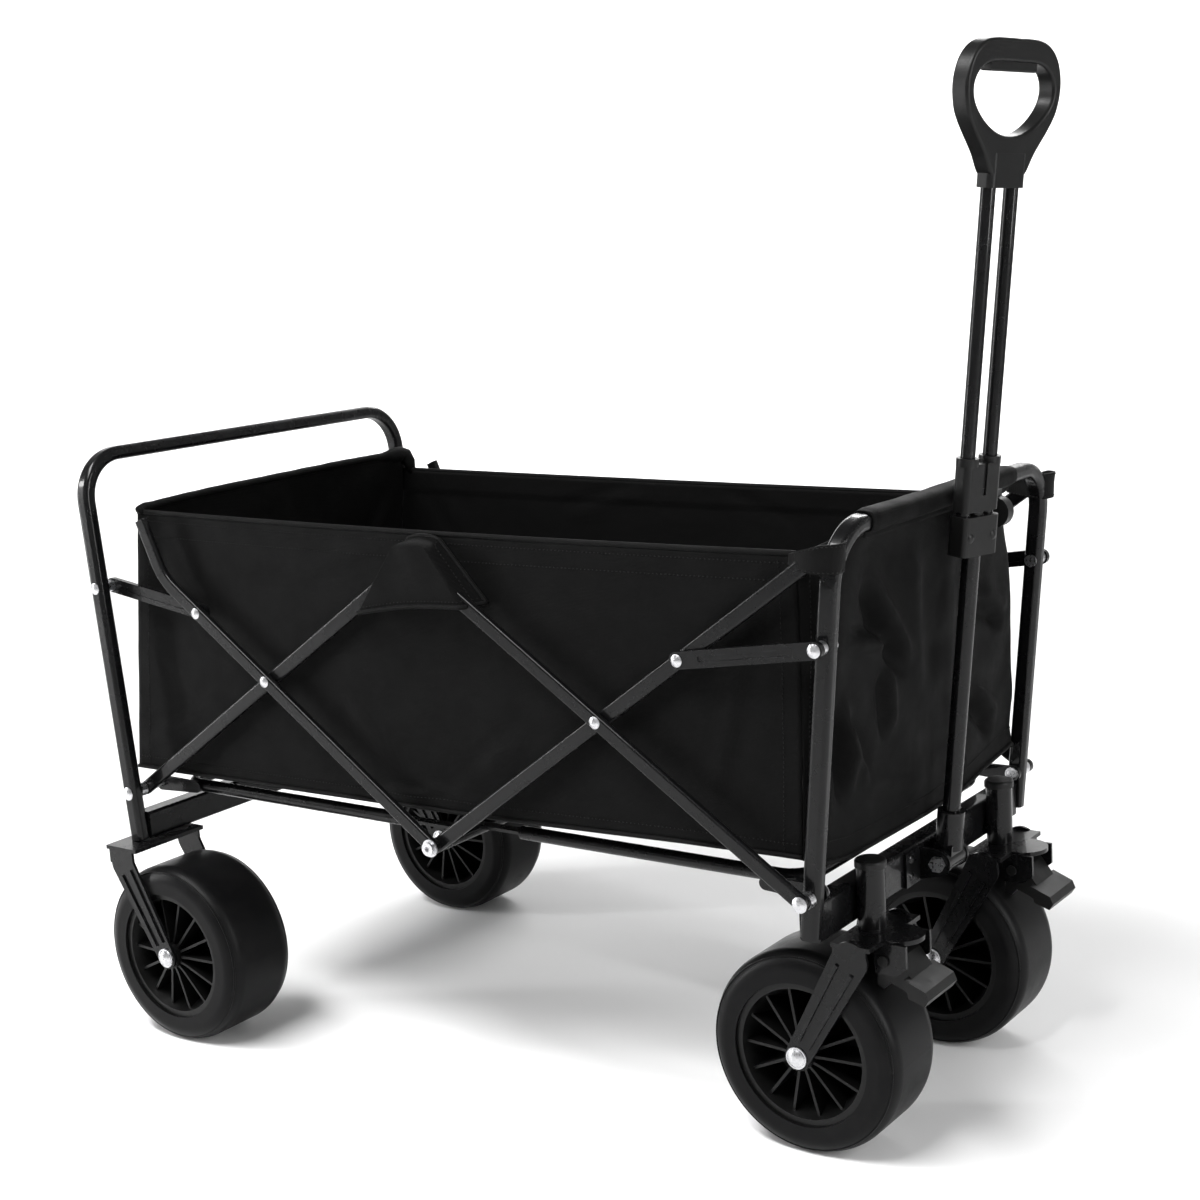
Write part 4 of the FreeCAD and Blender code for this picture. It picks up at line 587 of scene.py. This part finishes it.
def front_grid():
    """The front of the tub: flat between the legs, cut back at the far corner, and joined to both sides."""
    columns, rows = 170, 80
    s = np.linspace(-1, 1, columns)[:, None]
    up = np.linspace(0, 1, rows)[None, :]
    turn = 0.80
    flat_share = np.clip(np.abs(s) / turn, 0, 1)
    corner = np.clip((np.abs(s) - turn) / (1 - turn), 0, 1)
    bottom = np.interp(s, [-1, -0.6, 0, 0.3, 0.55, 0.78, 0.9, 1],
                       [0.287, 0.272, 0.2695, 0.271, 0.282, 0.289, 0.283, 0.287])
    middle_top = 0.5545
    corner_top = np.where(s < 0, 0.5425, 0.5290)
    top = middle_top + (corner_top - middle_top) * smoothstep(turn - 0.02, 1, np.abs(s))
    z = bottom + (top - bottom) * up
    far_reach = np.interp(z, [0.27, 0.31, 0.336, 0.366, 0.456, 0.514, 0.555],
                          [0.189, 0.189, 0.186, 0.176, 0.157, 0.128, 0.122])
    near_reach = np.interp(z, [0.27, 0.518, 0.535, 0.545, 0.556], [0.190, 0.190, 0.186, 0.180, 0.168])
    reach = np.where(s < 0, near_reach, far_reach)
    up_share = (z - TUB_LOW) / (TUB_HIGH - TUB_LOW)
    end_x = np.where(s < 0, side_edges(up_share, -1)[1], side_edges(up_share, 1)[1])
    plane = front_plane_x(z)
    x = plane + (end_x - plane) * corner
    y = np.sign(s) * (reach * flat_share + (TUB_Y - 0.0005 - reach) * corner)
    grid = np.stack([x, y, z], axis=2)
    for _ in range(40):
        grid[1:-1, :, :2] = 0.5 * grid[1:-1, :, :2] + 0.25 * (grid[:-2, :, :2] + grid[2:, :, :2])
    inside = smoothstep(0, 0.12, 1 - np.abs(s)) * smoothstep(0, 0.08, up) * smoothstep(0, 0.06, 1 - up)
    push = 0.0045 * rumple(grid * np.array([1, 1, 0.55]), 9, 3) + 0.0022 * rumple(grid, 24, 4)
    push = creased(push, grid[..., 1], grid[..., 2], FRONT_FOLDS)
    grid[..., 0] += np.clip(push, -0.016, 0.009) * inside
    return grid


def tub_front():
    """The front of the tub, doubled along its bottom hem and bound at its two top corners."""
    grid = front_grid()
    over_hem = np.linspace(0, 1, grid.shape[1])[None, :] * 0.28 - 0.012
    piece = sheet_piece("front_cloth", grid, CLOTH_THICK * (1 + 1.2 * smoothstep(0.02, 0.0, over_hem)))
    hem = tube_piece("front_hem", grid[:, 0], 0.0024, 8)
    rows = [row_along(grid, 5), column_along(grid, 5), column_along(grid, grid.shape[0] - 6)]
    thread = stitch_piece("front_stitches", rows)
    bound = 24
    top_left = tube_piece("front_binding_near", grid[:bound, -1], 0.0026, 8)
    top_right = tube_piece("front_binding_far", grid[-bound:, -1], 0.0026, 8)
    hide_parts("tub_front_panel")
    riding("front_frame", piece, hem, thread, top_left, top_right)


def bar_sleeve():
    """The sleeve that wraps the front frame's top bar and hangs the front of the tub."""
    columns, around = 90, 34
    y = np.linspace(-0.154, 0.126, columns)[:, None]
    upward = np.array([math.sin(FRONT_LEAN), 0, math.cos(FRONT_LEAN)])
    bar = FRONT_PIN + 0.310 * upward
    outward = np.array([math.cos(FRONT_LEAN), 0, -math.sin(FRONT_LEAN)])
    outline = []
    for k in range(around):
        t = k / (around - 1)
        turn = math.radians(-78) + t * math.radians(336)
        wide = 0.0101 / max(abs(math.cos(turn)) ** 3 + abs(math.sin(turn)) ** 3, 1e-6) ** (1 / 3)
        outline.append((wide * math.cos(turn), wide * 0.84 * math.sin(turn)))
    tail = [(0.0020, -0.0150), (0.0016, -0.0125), (0.0017, -0.0104)]
    tail_back = [(-0.0017, -0.0104), (-0.0016, -0.0125), (-0.0020, -0.0150)]
    profile = np.array(tail + outline + tail_back)
    grid = np.zeros((columns, len(profile), 3))
    snug = 0.87 + 0.13 * smoothstep(0, 0.012, 0.140 - np.abs(y + 0.014))
    for j, (out, rise) in enumerate(profile):
        grid[:, j] = bar + outward * out * snug + upward * rise * snug
    grid[..., 1] = y
    grid += normals_of(grid) * (0.0011 * rumple(grid * np.array([1, 0.8, 1]), 30, 6))[..., None]
    piece = sheet_piece("front_sleeve", grid[::-1], CLOTH_THICK)
    front_row = grid[:, 2] + outward * 0.0006
    thread = stitch_piece("sleeve_stitches", [(front_row, np.tile(outward, (columns, 1)))])
    riding("front_frame", piece, thread)


def tub_rear():
    """The rear of the tub, with a rolled top hem that thickens towards the far corner."""
    columns, rows = 120, 66
    s = np.linspace(-1, 1, columns)[:, None]
    up = np.linspace(0, 1, rows)[None, :]
    top = 0.5540 + 0.0025 * s - 0.0035 * np.abs(s) ** 4
    z = 0.2732 + (top - 0.2732) * up
    x = REAR_FOOT_X + REAR_LEAN_X * (z - TUB_LOW) / (TUB_HIGH - TUB_LOW) + CLOTH_GAP
    y = 0.2015 * s + 0 * z
    grid = np.stack([x, y, z], axis=2)
    inside = smoothstep(0, 0.1, 1 - np.abs(s)) * smoothstep(0, 0.08, up) * smoothstep(0, 0.08, 1 - up)
    push = 0.0034 * rumple(grid * np.array([1, 1, 0.6]), 9, 12) + 0.0015 * rumple(grid, 24, 13)
    push = creased(push, grid[..., 1], grid[..., 2], REAR_FOLDS)
    grid[..., 0] -= np.clip(push, -0.006, 0.004) * inside
    facing = grid[::-1]
    piece = sheet_piece("rear_cloth", facing, CLOTH_THICK)
    near_end = mm((-421.5, -203, 548.0), (-416.0, -203.4, 545.0))[::-1]
    far_end = mm((-420.5, 202.5, 551.0), (-415.5, 203.2, 543.5), (-411.5, 203.4, 531.0))
    path = np.concatenate([near_end, grid[2:-2, -1], far_end])
    far_swell = smoothstep(0.78, 0.97, s[2:-2, 0])
    near_swell = smoothstep(-0.9, -0.98, s[2:-2, 0])
    along = 0.0046 + 0.0052 * far_swell + 0.0012 * near_swell
    swell = np.concatenate([[0.0028, 0.0045], along, [0.0094, 0.0076, 0.0034]])
    uneven = 0.0004 * np.array([noise.noise(Vector(p * 60)) for p in path])
    roll = tube_piece("rear_hem_roll", path, swell + uneven, 14, 0.9, CLOTH)
    piping = tube_piece("rear_piping", grid[:, 0], 0.0022, 8)
    thread = stitch_piece("rear_stitches", [row_along(facing, rows - 5), row_along(facing, 3),
                                            column_along(facing, 4), column_along(facing, columns - 5)])
    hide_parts("tub_rear_panel")
    riding("rear_frame", piece, roll, piping, thread)


def tub_floor():
    """The tub's floor, sagging a little between the floor frames' tubes."""
    columns, rows = 150, 70
    share = np.linspace(0, 1, columns)[:, None]
    s = np.linspace(-1, 1, rows)[None, :]
    x = -0.4600 + (0.3455 + 0.4600) * share + 0 * s
    y = 0.2015 * s + 0 * share
    turned_up = 0.0120 * smoothstep(0.1, 1, share) * np.abs(s) ** 6
    sag = 0.0018 * np.sin(math.pi * share) * (1 - s ** 2)
    z = 0.2740 + turned_up - sag
    grid = np.stack([x, y, z], axis=2)
    grid[..., 2] += 0.0008 * rumple(grid, 12, 21) * (1 - np.abs(s) ** 4)
    piece = sheet_piece("floor_cloth", grid, CLOTH_THICK)
    thread = stitch_piece("floor_stitches", [row_along(grid, 2), row_along(grid, rows - 3),
                                             column_along(grid, columns // 2)])
    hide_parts("tub_floor_sheet")
    folding(piece, thread)


def corner_strap(name, side):
    """The cloth strap at a front corner: round the frame's leg and the strut's end, and back to the tub."""
    centre_z = 0.543
    plane = front_plane_x(centre_z)
    plan = [(0.3480, 0.2085), (0.3560, 0.2165), (0.3680, 0.2212), (0.3800, 0.2220),
            (0.3910, 0.2200), (0.3962, 0.2140), (0.3968, 0.2050), (0.3945, 0.1970), (0.3870, 0.1935),
            (0.3770, 0.1935), (0.3660, 0.1965), (0.3520, 0.2000)]
    plan = np.array(plan)
    plan[:, 0] += plane - 0.3844
    steps = np.concatenate([[0], np.cumsum(np.linalg.norm(np.diff(plan, axis=0), axis=1))])
    fine = np.linspace(0, steps[-1], 72)
    xs = np.interp(fine, steps, plan[:, 0])
    ys = np.interp(fine, steps, plan[:, 1])
    for _ in range(6):
        xs[1:-1] = 0.5 * xs[1:-1] + 0.25 * (xs[:-2] + xs[2:])
        ys[1:-1] = 0.5 * ys[1:-1] + 0.25 * (ys[:-2] + ys[2:])
    widest = 0.0245
    width = np.interp(fine / steps[-1], [0, 0.15, 0.35, 0.65, 0.85, 1],
                      [0.009, 0.016, widest, widest, 0.016, 0.009])
    rows = np.linspace(-0.5, 0.5, 14)
    grid = np.zeros((len(fine), len(rows), 3))
    for j, share in enumerate(rows):
        z = centre_z + width * share - 0.005 * (1 - width / widest)
        grid[:, j, 0] = xs + (z - centre_z) * math.tan(FRONT_LEAN)
        grid[:, j, 1] = side * ys
        grid[:, j, 2] = z
    grid += normals_of(grid) * (0.0009 * rumple(grid, 60, 14 + side))[..., None]
    facing = grid if side < 0 else grid[::-1]
    piece = sheet_piece(f"corner_strap_{name}", facing, 0.0016, TAPE)
    thread = stitch_piece(f"strap_stitches_{name}", [row_along(facing, 1), row_along(facing, 12)], 0.0038)
    riding("front_frame", piece, thread)


def tyre_ribs(axle, name, centre):
    """The thin mould line on each shoulder of a tyre."""
    radius, from_middle = 0.0883, 0.0373
    turns = np.linspace(0, 2 * math.pi, 121)
    for rim_side, offset in (("inner", from_middle), ("outer", -from_middle)):
        path = np.stack([centre[0] + radius * np.cos(turns), centre[1] + offset + 0 * turns,
                         centre[2] + radius * np.sin(turns)], axis=1)
        ring = tube_piece(f"tyre_line_{axle}_{name}_{rim_side}", path, 0.0009, 8, 1.0, TYRE)
        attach(ring, f"wheel_{axle}_{name}")


for side_name, side_sign in SIDES:
    tyre_ribs("rear", side_name, mm(-381.8, side_sign * 216, 93))
    tyre_ribs("front", side_name, mm(317.2, side_sign * 130, 93))
    tub_side(side_name, side_sign)
    strut_pocket(side_name, side_sign)
    corner_strap(side_name, side_sign)
tub_front()
bar_sleeve()
tub_rear()
tub_floor()
